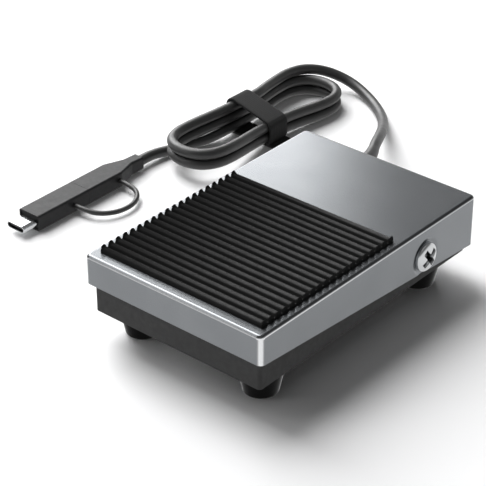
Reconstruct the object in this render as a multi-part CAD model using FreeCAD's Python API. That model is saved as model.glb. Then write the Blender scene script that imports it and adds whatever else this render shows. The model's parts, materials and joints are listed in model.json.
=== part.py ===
import FreeCAD, Part
import math
import os

from FreeCAD import Vector

# Foot pedal switch: a tilting metal cover over a moulded tray, with its cord wound in a hank.
# Millimetres. +X is right, +Y is the rear with the cord, +Z is up. The origin is on the floor
# under the middle of the cover.

# Cover
COVER_LENGTH = 110.0
COVER_WIDTH = 72.0
COVER_TOP = 30.6
COVER_WALL = 1.5
SKIRT_FRONT_Z = 20.3
SKIRT_REAR_Z = 12.1
COVER_CORNER = 2.0
COVER_EDGE = 1.2
COVER_GAP = 0.5

# Tread pad
PAD_WIDTH = 65.4
PAD_FRONT_MARGIN = 4.1
PAD_LENGTH = 64.6
PAD_SHEET = 0.7
RIB_COUNT = 20
RIB_HEIGHT = 2.4
RIB_ROOT = 1.1
RIB_CROWN = 0.72
RIB_CROWN_RISE = 0.55
STUD_RADIUS = 1.5
STUD_HEAD_RADIUS = 2.2
STUD_HEAD = 1.0
STUD_X = 26.0
STUD_END_MARGIN = 6.8
STUD_CLEARANCE = 0.08

# Pivot of the cover on the tray
PIVOT_Y = 27.4
PIVOT_Z = 19.8
STROKE_DEG = 3.5
SHOULDER_RADIUS = 3.0
THREAD_RADIUS = 2.5
THREAD_LENGTH = 9.2
HEAD_RADIUS = 5.0
HEAD_RIM = 0.9
HEAD_HEIGHT = 2.45
HEAD_GAP = 0.1
CROSS_SPAN = 5.8
CROSS_WIDTH = 1.3
CROSS_DEPTH = 1.5
DISH_MOUTH = 6.75
DISH_FLOOR = 5.4
DISH_DEPTH = 0.55
BUSH_RADIUS = 4.0
BUSH_FLANGE_RADIUS = 5.25
BUSH_FLANGE = 0.35
RUN_CLEARANCE = 0.05
INSERT_RADIUS = 3.75
INSERT_LENGTH = 9.5
INSERT_GROOVE = 0.4
FIT_CLEARANCE = 0.02

# Tray
TRAY_BOTTOM = 9.9
TRAY_FLOOR = 2.5
TRAY_WALL = 2.2
TRAY_CORNER = 1.3
TRAY_FRONT_TOP = 23.6
TRAY_PIVOT_TOP = 28.5
TRAY_REAR_TOP = 22.0
BOSS_RADIUS = 6.0
BOSS_LENGTH = 7.8

# Feet
FOOT_TOP_RADIUS = 7.75
FOOT_BOTTOM_RADIUS = 5.8
FOOT_EDGE = 0.4
FOOT_SIDE_INSET = 11.4
FOOT_FRONT_INSET = 13.7
FOOT_REAR_INSET = 15.4
FOOT_BORE_RADIUS = 3.5
FOOT_BORE_DEPTH = 5.0
FOOT_SCREW_RADIUS = 1.5
FOOT_SCREW_HEAD_RADIUS = 2.9
FOOT_SCREW_HEAD = 2.0
FOOT_SCREW_TOP = 16.4
FOOT_BOSS_RADIUS = 3.5
FOOT_BOSS_TOP = 17.2
SCREW_CLEARANCE = 0.05
SCREW_PLAY = 0.15

# Stops
STOP_SIDE_INSET = 4.8
STOP_FRONT_INSET = 20.8
STOP_RADIUS = 4.0
STOP_HEIGHT = 5.0
STOP_AIR = 0.15
REST_SIDE_INSET = 2.4
REST_REAR_INSET = 4.8
REST_RADIUS = 2.8
REST_HEIGHT = 3.2
REST_AIR = 0.1
CUSHION_CHAMFER = 0.5
SPIGOT_RADIUS = 1.4
SPIGOT_LENGTH = 1.8

# Return spring and the carrier under the cover
SPRING_BOARD_GAP = 3.8
SPRING_MEAN_RADIUS = 5.5
SPRING_WIRE_RADIUS = 0.7
SPRING_TURNS = 5
SPRING_CLOSED_QUARTERS = 3
SPRING_LEAD = 1.9
SPRING_AIR = 0.05
SEAT_RADIUS = 4.4
SEAT_HEIGHT = 1.8
CARRIER_WIDTH = 18.0
CARRIER_NOSE = 3.0
CARRIER_TAIL = 15.0
CARRIER_THICKNESS = 1.6
CARRIER_CORNER = 3.0
CUP_INNER_RADIUS = 6.6
CUP_WALL = 1.2
CUP_HEIGHT = 4.2
NIB_REACH = 12.5
NIB_RADIUS = 1.0
NIB_WIDTH = 4.0
NIB_DROP = 0.55
CARRIER_SCREW_AHEAD = 12.0
CARRIER_SCREW_BEHIND = 11.5
CARRIER_SCREW_RADIUS = 1.25
CARRIER_SCREW_HEAD = 2.3
CARRIER_SCREW_LENGTH = 4.8
CARRIER_BOSS_RADIUS = 3.0
CARRIER_BOSS = 2.0

# Circuit board and what it carries
BOARD_SIDE_GAP = 3.0
BOARD_FRONT_GAP = 2.8
BOARD_LENGTH = 36.0
BOARD_CORNER = 1.5
BOARD_THICKNESS = 1.6
BOARD_STANDOFF = 1.6
BOARD_POST_RADIUS = 2.2
BOARD_SCREW_INSET = 3.0
BOARD_SCREW_RADIUS = 1.0
BOARD_SCREW_HEAD_RADIUS = 1.9
BOARD_SCREW_HEAD = 1.3
BOARD_SCREW_LENGTH = 4.4
CHIP_SIDE = 7.0
CHIP_HEIGHT = 1.2
CHIP_X = 9.5
CHIP_SETBACK = 15.0
CRYSTAL_LENGTH = 5.0
CRYSTAL_WIDTH = 3.2
CRYSTAL_HEIGHT = 1.1
CRYSTAL_CORNER = 1.2
CRYSTAL_SETBACK = 25.0
HEADER_SIDE_GAP = 1.0
HEADER_SCREW_GAP = 0.6
HEADER_WIDTH = 9.0
HEADER_LENGTH = 4.5
HEADER_HEIGHT = 5.0
HEADER_WALL = 0.8
CRIMP_LENGTH = 8.0
LEAD_RADIUS = 0.55
LEAD_PITCH = 1.9
LEAD_BUNDLE = 0.7
LEAD_SPREAD = 1.5
LEAD_HEIGHT = 2.0
LEAD_START_RUN = 4.0
LEAD_END_RUN = 5.0

# Snap switch
SWITCH_WIDTH = 5.8
SWITCH_LENGTH = 12.8
SWITCH_HEIGHT = 6.5
SWITCH_SETBACK = 25.2
SWITCH_HOLE_RADIUS = 1.0
SWITCH_HOLE_INSET = 3.2
SWITCH_HOLE_RISE = 1.7
LEVER_LENGTH = 14.0
LEVER_WIDTH = 4.3
LEVER_THICKNESS = 0.3
LEVER_REST_DEG = 18.0
LEVER_PIN_RADIUS = 0.42
LEVER_PIN_INSET = 1.7
LEVER_PIN_RISE = 0.4
EAR_WIDTH = 0.55
EAR_RADIUS = 0.8
PLUNGER_WIDTH = 2.9
PLUNGER_LENGTH = 1.2
PLUNGER_HEIGHT = 4.6
PLUNGER_PROUD = 1.2
PLUNGER_TRAVEL = 1.05
PLUNGER_REACH = 4.0
PLUNGER_CLEARANCE = 0.1
PLUNGER_CROWN = 0.4
TERMINAL_WIDTH = 0.9
TERMINAL_THICKNESS = 0.5
TERMINAL_PITCH = 5.08
TERMINAL_LENGTH = 2.6
TERMINAL_HOLE_RADIUS = 0.7

# Cord, its exit and its clamp
CORD_RADIUS = 2.0
EXIT_SIDE_INSET = 13.8
EXIT_Z = 17.0
GLAND_FLANGE_RADIUS = 4.5
GLAND_FLANGE = 1.5
GLAND_NECK_RADIUS = 3.5
GLAND_COLLAR_RADIUS = 4.5
GLAND_COLLAR = 1.5
SLEEVE_ROOT_RADIUS = 3.9
SLEEVE_TIP_RADIUS = 2.4
SLEEVE_BEND_RADIUS = 53.0
SLEEVE_BEND_DEG = 28.0
SLEEVE_DROOP = 0.8
SLEEVE_RINGS = 3
SLOT_WIDTH = 11.0
SLOT_TOP = 23.5
TAIL_REACH = 4.0
CLAMP_SETBACK = 5.8
CLAMP_LENGTH = 14.0
CLAMP_WIDTH = 5.0
CLAMP_THICKNESS = 2.2
CLAMP_GAP = 0.3
CLAMP_SCREW_SPACING = 9.0

# Hank: two loops, drawn in at the waist, with the incoming cord lying on its back strands
HANK_X = -83.1
HANK_Y = 84.6
HANK_REACH = 42.4
HANK_BELLY = 11.9
HANK_WAIST = 4.4
HANK_LAYER = 4.6
HANK_LIFT = 1.2
HANK_SHOULDER_DEG = 38.0
HANK_LOOPS = 2
HANK_TAIL = 4.0

# Free cord between the strain relief and the hank, as points of its route
FREE_ROUTE = (
    (-31.6, 92.8, 12.4),
    (-36.9, 101.0, 8.0),
    (-42.7, 109.6, 4.0),
    (-49.2, 118.5, 2.0),
    (-57.2, 127.1, 2.0),
    (-67.0, 134.0, 2.2),
    (-78.2, 137.2, 4.2),
    (-87.2, 133.2, 7.9),
    (-92.4, 125.6, 10.6),
    (-94.5, 117.5, 11.3),
    (-93.9, 108.8, 11.3),
    (-92.2, 100.3, 11.9),
)
# Cord between the hank and the plug
PLUG_ROUTE = (
    (-92.4, 66.4, 2.2),
    (-95.3, 58.6, 2.0),
    (-97.7, 50.6, 2.1),
)
ENTRY_RUN = 6.0
PLUG_RUN = 7.0
BEND_SHARE = 0.45

# Strap round the waist of the hank
STRAP_WIDTH = 12.0
STRAP_THICKNESS = 1.0
STRAP_CLEARANCE = 0.15
STRAP_EASE = 0.42
STRAP_TAIL = 8.0

# Plug with its front adapter
PLUG_X = -99.05
PLUG_WIDTH = 9.7
PLUG_HEIGHT = 6.1
PLUG_EDGE = 0.8
ADAPTER_FRONT_Y = -19.9
ADAPTER_LENGTH = 24.9
ADAPTER_SEAM = 0.1
ADAPTER_RIM = 0.6
ADAPTER_RIM_DEPTH = 0.5
PLUG_SHOULDER_Y = 22.0
PLUG_NECK_Y = 30.0
PLUG_REAR_Y = 36.0
PLUG_NECK_WIDTH = 4.7
PLUG_NECK_HEIGHT = 4.9
SHELL_WIDTH = 8.34
SHELL_HEIGHT = 2.56
SHELL_WALL = 0.3
SHELL_REACH = 6.6
SHELL_ROOT = 2.5
TONGUE_WIDTH = 6.7
TONGUE_HEIGHT = 0.7
TONGUE_SHORT = 0.8
SOCKET_CLEARANCE = 0.12
SOCKET_ROOM = 1.0
TETHER_RADIUS = 0.9
TETHER_AIR = 0.05
TETHER_ROUTE = (
    (-90.2, -2.4, 3.05),
    (-84.5, -0.7, 2.4),
    (-80.3, 5.4, 2.0),
    (-80.0, 13.8, 2.0),
    (-84.3, 19.9, 2.4),
    (-90.0, 20.8, 3.05),
)

# Derived places
OVERCUT = 1.0
half_width = COVER_WIDTH / 2
half_length = COVER_LENGTH / 2
inside_x = half_width - COVER_WALL
inside_y = half_length - COVER_WALL
inside_top = COVER_TOP - COVER_WALL
tray_x = inside_x - COVER_GAP
tray_y = inside_y - COVER_GAP
tray_floor_z = TRAY_BOTTOM + TRAY_FLOOR
wall_x = tray_x - TRAY_WALL
wall_y = tray_y - TRAY_WALL
pad_front = -half_length + PAD_FRONT_MARGIN
pad_rear = pad_front + PAD_LENGTH
pad_half = PAD_WIDTH / 2
foot_x = half_width - FOOT_SIDE_INSET
foot_front_y = -half_length + FOOT_FRONT_INSET
foot_rear_y = half_length - FOOT_REAR_INSET
stop_x = wall_x - STOP_SIDE_INSET
stop_y = -wall_y + STOP_FRONT_INSET
rest_x = wall_x - REST_SIDE_INSET
rest_y = wall_y - REST_REAR_INSET
board_under = tray_floor_z + BOARD_STANDOFF
board_top = board_under + BOARD_THICKNESS
board_half = stop_x - STOP_RADIUS - BOARD_SIDE_GAP
board_front = -wall_y + BOARD_FRONT_GAP
board_rear = board_front + BOARD_LENGTH
board_screw_x = board_half - BOARD_SCREW_INSET
header_x = HEADER_SIDE_GAP + HEADER_WIDTH / 2 - board_half
switch_top = board_top + SWITCH_HEIGHT
switch_rear = board_front + SWITCH_SETBACK
lever_pin_y = switch_rear - LEVER_PIN_INSET
lever_pin_z = switch_top + LEVER_PIN_RISE
spring_y = board_rear + SPRING_BOARD_GAP + SPRING_WIRE_RADIUS + SPRING_MEAN_RADIUS
nib_y = lever_pin_y - NIB_REACH
carrier_under = inside_top - CARRIER_THICKNESS
carrier_screw_ys = (spring_y - CARRIER_SCREW_AHEAD, spring_y + CARRIER_SCREW_BEHIND)
exit_x = EXIT_SIDE_INSET - wall_x
clamp_y = wall_y - CLAMP_SETBACK
tail_end_y = clamp_y - TAIL_REACH
stroke = math.radians(STROKE_DEG)


def block(x0, x1, y0, y1, z0, z1):
    return Part.makeBox(x1 - x0, y1 - y0, z1 - z0, Vector(x0, y0, z0))


def post(radius, x, y, z0, z1):
    return Part.makeCylinder(radius, z1 - z0, Vector(x, y, z0), Vector(0, 0, 1))


def pin(radius, x0, x1, y, z):
    return Part.makeCylinder(radius, x1 - x0, Vector(x0, y, z), Vector(1, 0, 0))


def rod(radius, x, y0, y1, z):
    return Part.makeCylinder(radius, y1 - y0, Vector(x, y0, z), Vector(0, 1, 0))


def prism(points, travel):
    corners = [Vector(*point) for point in points]
    return Part.Face(Part.makePolygon(corners + corners[:1])).extrude(travel)


def turned(points, base, axis, side):
    # Solid of revolution from (radius, height) pairs, about the axis through the base point
    corners = [base + side * radius + axis * height for radius, height in points]
    return Part.Face(Part.makePolygon(corners + corners[:1])).revolve(base, axis, 360)


def joined(shapes):
    solid = shapes[0]
    for shape in shapes[1:]:
        solid = solid.fuse(shape)
    return solid.removeSplitter()


def upright_edges(shape, half_x, half_y):
    found = []
    for edge in plumb_edges(shape):
        middle = edge.BoundBox.Center
        if abs(abs(middle.x) - half_x) < 0.01 and abs(abs(middle.y) - half_y) < 0.01:
            found.append(edge)
    return found


def plumb_edges(shape):
    return [edge for edge in shape.Edges if edge.BoundBox.XLength < 0.01 and edge.BoundBox.YLength < 0.01]


def edges_at_height(shape, z):
    level = [edge for edge in shape.Edges if edge.BoundBox.ZLength < 0.001]
    return [edge for edge in level if abs(edge.BoundBox.ZMin - z) < 0.001]


def save(name, shape):
    shape.exportStep("parts/" + name + ".step")


# Cord paths

def arc_or_line(start, corner, end):
    # Arc from start to end, tangent to the two legs that meet at the corner
    first = corner - start
    second = end - corner
    turn = first.getAngle(second)
    if turn < 0.0005:
        return Part.LineSegment(start, end).toShape()
    middle = (start + end) * 0.5
    rise = (end - start).Length / 2 * math.tan(turn / 4)
    outward = corner - middle
    outward.normalize()
    return Part.Arc(start, middle + outward * rise, end).toShape()


def bent_run(points):
    # Straight runs joined by tangent arcs, each as large as its two runs allow
    path = []
    radii = []
    last = points[0]
    for before, here, after in zip(points, points[1:], points[2:]):
        back = before - here
        ahead = after - here
        setback = BEND_SHARE * min(back.Length, ahead.Length)
        turn = math.pi - back.getAngle(ahead)
        back.normalize()
        ahead.normalize()
        start = here + back * setback
        end = here + ahead * setback
        path.append(Part.LineSegment(last, start).toShape())
        path.append(arc_or_line(start, here, end))
        radii.append(setback / math.tan(turn / 2))
        last = end
    path.append(Part.LineSegment(last, points[-1]).toShape())
    return path, radii


def biarc(start, start_way, end, end_way):
    # Two arcs that leave start along start_way and reach end along end_way
    chord = end - start
    both = start_way + end_way
    spread = 2 * (1 - start_way.dot(end_way))
    if spread < 1e-9:
        leg = chord.dot(chord) / (4 * chord.dot(end_way))
    else:
        along = chord.dot(both)
        leg = (math.sqrt(along * along + spread * chord.dot(chord)) - along) / spread
    near = start + start_way * leg
    far = end - end_way * leg
    meeting = (near + far) * 0.5
    return [arc_or_line(start, near, meeting), arc_or_line(meeting, far, end)]


def swept(path, radius, label):
    first = path[0]
    begin = first.valueAt(first.FirstParameter)
    way = first.tangentAt(first.FirstParameter)
    ring = Part.Wire(Part.makeCircle(radius, begin, way))
    solid = Part.Wire(path).makePipeShell([ring], True, False)
    if solid.Volume < 0:
        solid.reverse()
    length = sum(edge.Length for edge in path)
    ratio = solid.Volume / (math.pi * radius * radius * length)
    print(label, "length", round(length, 1), "volume ratio", round(ratio, 4), solid.isValid())
    return solid


def own_gap(path, diameter):
    # Least distance of a tube to another stretch of itself, measured on points of its centre line
    marks = []
    travelled = 0.0
    for edge in path:
        for point in edge.discretize(Distance=1.0)[:-1]:
            marks.append((travelled + (point - edge.valueAt(edge.FirstParameter)).Length, point))
        travelled += edge.Length
    least = 1e9
    for index, (place, point) in enumerate(marks):
        for other_place, other in marks[index + 1:]:
            if other_place - place > 4 * diameter:
                least = min(least, (other - point).Length)
    return least - diameter


# Cover and tread pad

def make_cover():
    side = [
        (-half_width, -half_length, SKIRT_FRONT_Z),
        (-half_width, -half_length, COVER_TOP),
        (-half_width, half_length, COVER_TOP),
        (-half_width, half_length, SKIRT_REAR_Z),
    ]
    shell = prism(side, Vector(COVER_WIDTH, 0, 0))
    shell = shell.makeFillet(COVER_CORNER, upright_edges(shell, half_width, half_length))
    shell = shell.makeFillet(COVER_EDGE, edges_at_height(shell, COVER_TOP))
    room = block(-inside_x, inside_x, -inside_y, inside_y, 0, inside_top)
    room = room.makeFillet(COVER_CORNER - COVER_WALL, upright_edges(room, inside_x, inside_y))
    shell = shell.cut(room)
    for side_sign in (-1, 1):
        outward = Vector(side_sign, 0, 0)
        face_point = Vector(side_sign * half_width, PIVOT_Y, PIVOT_Z)
        dish = Part.makeCone(DISH_MOUTH, DISH_FLOOR, DISH_DEPTH, face_point, outward * -1)
        bore = Part.makeCylinder(BUSH_RADIUS + FIT_CLEARANCE, 2 * COVER_WALL, face_point, outward * -1)
        shell = shell.cut(dish).cut(bore)
    for x in (-STUD_X, STUD_X):
        for y in stud_ys():
            hole = post(STUD_RADIUS + STUD_CLEARANCE, x, y, inside_top - OVERCUT, COVER_TOP + OVERCUT)
            shell = shell.cut(hole)
    sink = CARRIER_SCREW_HEAD - CARRIER_SCREW_RADIUS
    narrow = CARRIER_SCREW_RADIUS + SCREW_CLEARANCE
    wide = CARRIER_SCREW_HEAD + SCREW_CLEARANCE
    for y in carrier_screw_ys:
        cone = Part.makeCone(narrow, wide, sink, Vector(0, y, COVER_TOP - sink))
        shell = shell.cut(cone).cut(post(narrow, 0, y, inside_top - OVERCUT, COVER_TOP))
    half_slot = SLOT_WIDTH / 2
    near = inside_y - OVERCUT
    far = half_length + OVERCUT
    bend_z = SLOT_TOP - half_slot
    slot = block(exit_x - half_slot, exit_x + half_slot, near, far, 0, bend_z)
    slot = slot.fuse(rod(half_slot, exit_x, near, far, bend_z))
    return shell.cut(slot)


def stud_ys():
    return pad_front + STUD_END_MARGIN, pad_rear - STUD_END_MARGIN


def make_pad():
    pitch = (PAD_LENGTH - 2 * RIB_ROOT) / (RIB_COUNT - 1)
    valley = COVER_TOP + PAD_SHEET
    crown = COVER_TOP + RIB_HEIGHT
    shoulder = crown - RIB_CROWN_RISE
    x = -pad_half
    edges = []
    here = Vector(x, pad_front, COVER_TOP)
    start = here
    for index in range(RIB_COUNT):
        middle = pad_front + RIB_ROOT + pitch * index
        root = Vector(x, middle - RIB_ROOT, valley)
        edges.append(Part.LineSegment(here, root).toShape())
        left = Vector(x, middle - RIB_CROWN, shoulder)
        right = Vector(x, middle + RIB_CROWN, shoulder)
        edges.append(Part.LineSegment(root, left).toShape())
        edges.append(Part.Arc(left, Vector(x, middle, crown), right).toShape())
        here = Vector(x, middle + RIB_ROOT, valley)
        edges.append(Part.LineSegment(right, here).toShape())
    end = Vector(x, pad_rear, COVER_TOP)
    edges.append(Part.LineSegment(here, end).toShape())
    edges.append(Part.LineSegment(end, start).toShape())
    pad = Part.Face(Part.Wire(edges)).extrude(Vector(PAD_WIDTH, 0, 0))
    for x in (-STUD_X, STUD_X):
        for y in stud_ys():
            head_top = inside_top - STUD_CLEARANCE
            stem = post(STUD_RADIUS, x, y, head_top, COVER_TOP)
            tip = Vector(x, y, head_top - STUD_HEAD)
            head = Part.makeCone(STUD_RADIUS, STUD_HEAD_RADIUS, STUD_HEAD, tip)
            pad = pad.fuse(stem).fuse(head)
    return pad


def make_carrier():
    half = CARRIER_WIDTH / 2
    front = nib_y - CARRIER_NOSE
    rear = spring_y + CARRIER_TAIL
    plate = block(-half, half, front, rear, carrier_under, inside_top)
    plate = plate.makeFillet(CARRIER_CORNER, plumb_edges(plate))
    cup_low = carrier_under - CUP_HEIGHT
    outer = post(CUP_INNER_RADIUS + CUP_WALL, 0, spring_y, cup_low, carrier_under)
    inner = post(CUP_INNER_RADIUS, 0, spring_y, cup_low, carrier_under)
    nib_z = carrier_under - NIB_DROP + NIB_RADIUS
    nib = pin(NIB_RADIUS, -NIB_WIDTH / 2, NIB_WIDTH / 2, nib_y, nib_z)
    shapes = [plate, outer.cut(inner), nib]
    boss_low = carrier_under - CARRIER_BOSS
    for y in carrier_screw_ys:
        shapes.append(post(CARRIER_BOSS_RADIUS, 0, y, boss_low, carrier_under))
    carrier = joined(shapes)
    hole_radius = CARRIER_SCREW_RADIUS + SCREW_CLEARANCE
    for y in carrier_screw_ys:
        carrier = carrier.cut(post(hole_radius, 0, y, boss_low - OVERCUT, inside_top + OVERCUT))
    return carrier


def make_carrier_screws():
    screws = []
    sink = CARRIER_SCREW_HEAD - CARRIER_SCREW_RADIUS
    top = COVER_TOP - SCREW_CLEARANCE
    for y in carrier_screw_ys:
        head = Part.makeCone(CARRIER_SCREW_RADIUS, CARRIER_SCREW_HEAD, sink, Vector(0, y, top - sink))
        screws.append(head.fuse(post(CARRIER_SCREW_RADIUS, 0, y, top - CARRIER_SCREW_LENGTH, top - sink)))
    return Part.makeCompound(screws)


# Pivots

def make_bushing(sign):
    outward = Vector(sign, 0, 0)
    inner = tray_x + COVER_GAP - BUSH_FLANGE
    base = Vector(sign * inner, PIVOT_Y, PIVOT_Z)
    reach = half_width - DISH_DEPTH - inner
    bore = SHOULDER_RADIUS + RUN_CLEARANCE
    profile = [
        (bore, 0),
        (BUSH_FLANGE_RADIUS, 0),
        (BUSH_FLANGE_RADIUS, BUSH_FLANGE),
        (BUSH_RADIUS, BUSH_FLANGE),
        (BUSH_RADIUS, reach),
        (bore, reach),
    ]
    return turned(profile, base, outward, Vector(0, 0, 1))


def make_insert(sign):
    outward = Vector(sign, 0, 0)
    base = Vector(sign * (tray_x - INSERT_LENGTH), PIVOT_Y, PIVOT_Z)
    bore = THREAD_RADIUS + SCREW_CLEARANCE
    groove = INSERT_RADIUS - INSERT_GROOVE
    third = INSERT_LENGTH / 3
    profile = [
        (bore, 0),
        (INSERT_RADIUS, 0),
        (INSERT_RADIUS, third),
        (groove, third),
        (groove, 2 * third),
        (INSERT_RADIUS, 2 * third),
        (INSERT_RADIUS, INSERT_LENGTH),
        (bore, INSERT_LENGTH),
    ]
    return turned(profile, base, outward, Vector(0, 0, 1))


def make_pivot_screw(sign):
    outward = Vector(sign, 0, 0)
    up = Vector(0, 0, 1)
    seat = half_width - DISH_DEPTH + HEAD_GAP
    base = Vector(0, PIVOT_Y, PIVOT_Z)
    head_base = base + outward * seat
    rim = head_base + outward * HEAD_RIM
    crown = head_base + outward * HEAD_HEIGHT
    rise = HEAD_HEIGHT - HEAD_RIM
    dome_radius = (HEAD_RADIUS ** 2 + rise ** 2) / (2 * rise)
    half_chord = HEAD_RADIUS / 2
    lift = math.sqrt(dome_radius ** 2 - half_chord ** 2) - (dome_radius - rise)
    edges = [
        Part.LineSegment(head_base, head_base + up * HEAD_RADIUS).toShape(),
        Part.LineSegment(head_base + up * HEAD_RADIUS, rim + up * HEAD_RADIUS).toShape(),
        Part.Arc(rim + up * HEAD_RADIUS, rim + up * half_chord + outward * lift, crown).toShape(),
        Part.LineSegment(crown, head_base).toShape(),
    ]
    head = Part.Face(Part.Wire(edges)).revolve(base, outward, 360)
    recess_floor = seat + HEAD_HEIGHT - CROSS_DEPTH
    x0, x1 = sorted((sign * recess_floor, sign * (recess_floor + CROSS_DEPTH + OVERCUT)))
    for long_y in (True, False):
        half_y = (CROSS_SPAN if long_y else CROSS_WIDTH) / 2
        half_z = (CROSS_WIDTH if long_y else CROSS_SPAN) / 2
        y0 = PIVOT_Y - half_y
        z0 = PIVOT_Z - half_z
        head = head.cut(block(x0, x1, y0, y0 + 2 * half_y, z0, z0 + 2 * half_z))
    shoulder = Part.makeCylinder(SHOULDER_RADIUS, seat - tray_x, base + outward * tray_x, outward)
    thread_end = base + outward * (tray_x - THREAD_LENGTH)
    thread = Part.makeCylinder(THREAD_RADIUS, THREAD_LENGTH, thread_end, outward)
    return joined([head, shoulder, thread])


# Tray, feet and stops

def stop_top():
    # Height that the inside of the cover reaches over the front edge of the stop at full stroke
    arm = PIVOT_Y - stop_y + STOP_RADIUS
    rise = inside_top - PIVOT_Z
    return PIVOT_Z + rise * math.cos(stroke) - arm * math.sin(stroke) - STOP_AIR


def stop_places():
    stop_base = stop_top() - STOP_HEIGHT
    rest_base = inside_top - REST_AIR - REST_HEIGHT
    stops = [(sign * stop_x, stop_y, STOP_RADIUS, stop_base) for sign in (-1, 1)]
    rests = [(sign * rest_x, rest_y, REST_RADIUS, rest_base) for sign in (-1, 1)]
    return stops, rests


def foot_places():
    return {
        "foot_front_left": (-foot_x, foot_front_y),
        "foot_front_right": (foot_x, foot_front_y),
        "foot_rear_left": (-foot_x, foot_rear_y),
        "foot_rear_right": (foot_x, foot_rear_y),
    }


def board_screw_places():
    front = board_front + BOARD_SCREW_INSET
    rear = board_rear - HEADER_LENGTH - HEADER_SCREW_GAP - BOARD_SCREW_HEAD_RADIUS
    return [(x, y) for y in (front, rear) for x in (-board_screw_x, board_screw_x)]


def clamp_screw_places():
    return [(exit_x + sign * CLAMP_SCREW_SPACING / 2, clamp_y) for sign in (-1, 1)]


def make_tray():
    outline = [
        (-tray_x, -tray_y, TRAY_BOTTOM),
        (-tray_x, -tray_y, TRAY_FRONT_TOP),
        (-tray_x, PIVOT_Y, TRAY_PIVOT_TOP),
        (-tray_x, tray_y, TRAY_REAR_TOP),
        (-tray_x, tray_y, TRAY_BOTTOM),
    ]
    tray = prism(outline, Vector(2 * tray_x, 0, 0))
    tray = tray.makeFillet(TRAY_CORNER, upright_edges(tray, tray_x, tray_y))
    tray = tray.cut(block(-wall_x, wall_x, -wall_y, wall_y, tray_floor_z, TRAY_PIVOT_TOP + OVERCUT))
    added = []
    for sign in (-1, 1):
        ends = sorted((sign * wall_x, sign * (wall_x - BOSS_LENGTH)))
        added.append(pin(BOSS_RADIUS, ends[0], ends[1], PIVOT_Y, PIVOT_Z))
        web = BOSS_RADIUS / 2
        added.append(block(ends[0], ends[1], PIVOT_Y - web, PIVOT_Y + web, tray_floor_z, PIVOT_Z - web))
    for x, y in foot_places().values():
        added.append(post(FOOT_BOSS_RADIUS, x, y, tray_floor_z, FOOT_BOSS_TOP))
    stops, rests = stop_places()
    for x, y, radius, top in stops + rests:
        added.append(post(radius, x, y, tray_floor_z, top))
        added.append(post(SPIGOT_RADIUS, x, y, top, top + SPIGOT_LENGTH))
    for x, y in board_screw_places():
        added.append(post(BOARD_POST_RADIUS, x, y, tray_floor_z, board_under))
    added.append(post(SEAT_RADIUS, 0, spring_y, tray_floor_z, tray_floor_z + SEAT_HEIGHT))
    added.append(clamp_block(tray_floor_z, EXIT_Z))
    tray = joined([tray] + added)
    for sign in (-1, 1):
        ends = sorted((sign * (tray_x + OVERCUT), sign * (tray_x - INSERT_LENGTH)))
        tray = tray.cut(pin(INSERT_RADIUS + FIT_CLEARANCE, ends[0], ends[1], PIVOT_Y, PIVOT_Z))
    foot_hole = FOOT_SCREW_RADIUS + SCREW_CLEARANCE
    for x, y in foot_places().values():
        tray = tray.cut(post(foot_hole, x, y, 0, FOOT_SCREW_TOP + SCREW_CLEARANCE))
    small_hole = BOARD_SCREW_RADIUS + SCREW_CLEARANCE
    depth = board_top - BOARD_SCREW_LENGTH - SCREW_CLEARANCE
    for x, y in board_screw_places():
        tray = tray.cut(post(small_hole, x, y, depth, board_under + OVERCUT))
    for x, y in clamp_screw_places():
        tray = tray.cut(post(small_hole, x, y, tray_floor_z, EXIT_Z + OVERCUT))
    neck_hole = rod(GLAND_NECK_RADIUS + FIT_CLEARANCE, exit_x, wall_y - OVERCUT, tray_y + OVERCUT, EXIT_Z)
    return tray.cut(cord_groove()).cut(neck_hole)


def make_foot(x, y):
    cone = Part.makeCone(FOOT_BOTTOM_RADIUS, FOOT_TOP_RADIUS, TRAY_BOTTOM, Vector(x, y, 0))
    cone = cone.makeChamfer(FOOT_EDGE, edges_at_height(cone, 0))
    bore = post(FOOT_BORE_RADIUS, x, y, 0, FOOT_BORE_DEPTH)
    hole = post(FOOT_SCREW_RADIUS + SCREW_CLEARANCE, x, y, 0, TRAY_BOTTOM)
    return cone.cut(bore).cut(hole)


def make_foot_screws():
    screws = []
    for x, y in foot_places().values():
        head = post(FOOT_SCREW_HEAD_RADIUS, x, y, FOOT_BORE_DEPTH - FOOT_SCREW_HEAD, FOOT_BORE_DEPTH)
        screws.append(head.fuse(post(FOOT_SCREW_RADIUS, x, y, FOOT_BORE_DEPTH, FOOT_SCREW_TOP)))
    return Part.makeCompound(screws)


def make_cushion(x, y, radius, base, height):
    body = post(radius, x, y, base, base + height)
    body = body.makeChamfer(CUSHION_CHAMFER, edges_at_height(body, base + height))
    socket_top = base + SPIGOT_LENGTH + SCREW_CLEARANCE
    return body.cut(post(SPIGOT_RADIUS + SCREW_CLEARANCE, x, y, base, socket_top))


# Return spring

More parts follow.
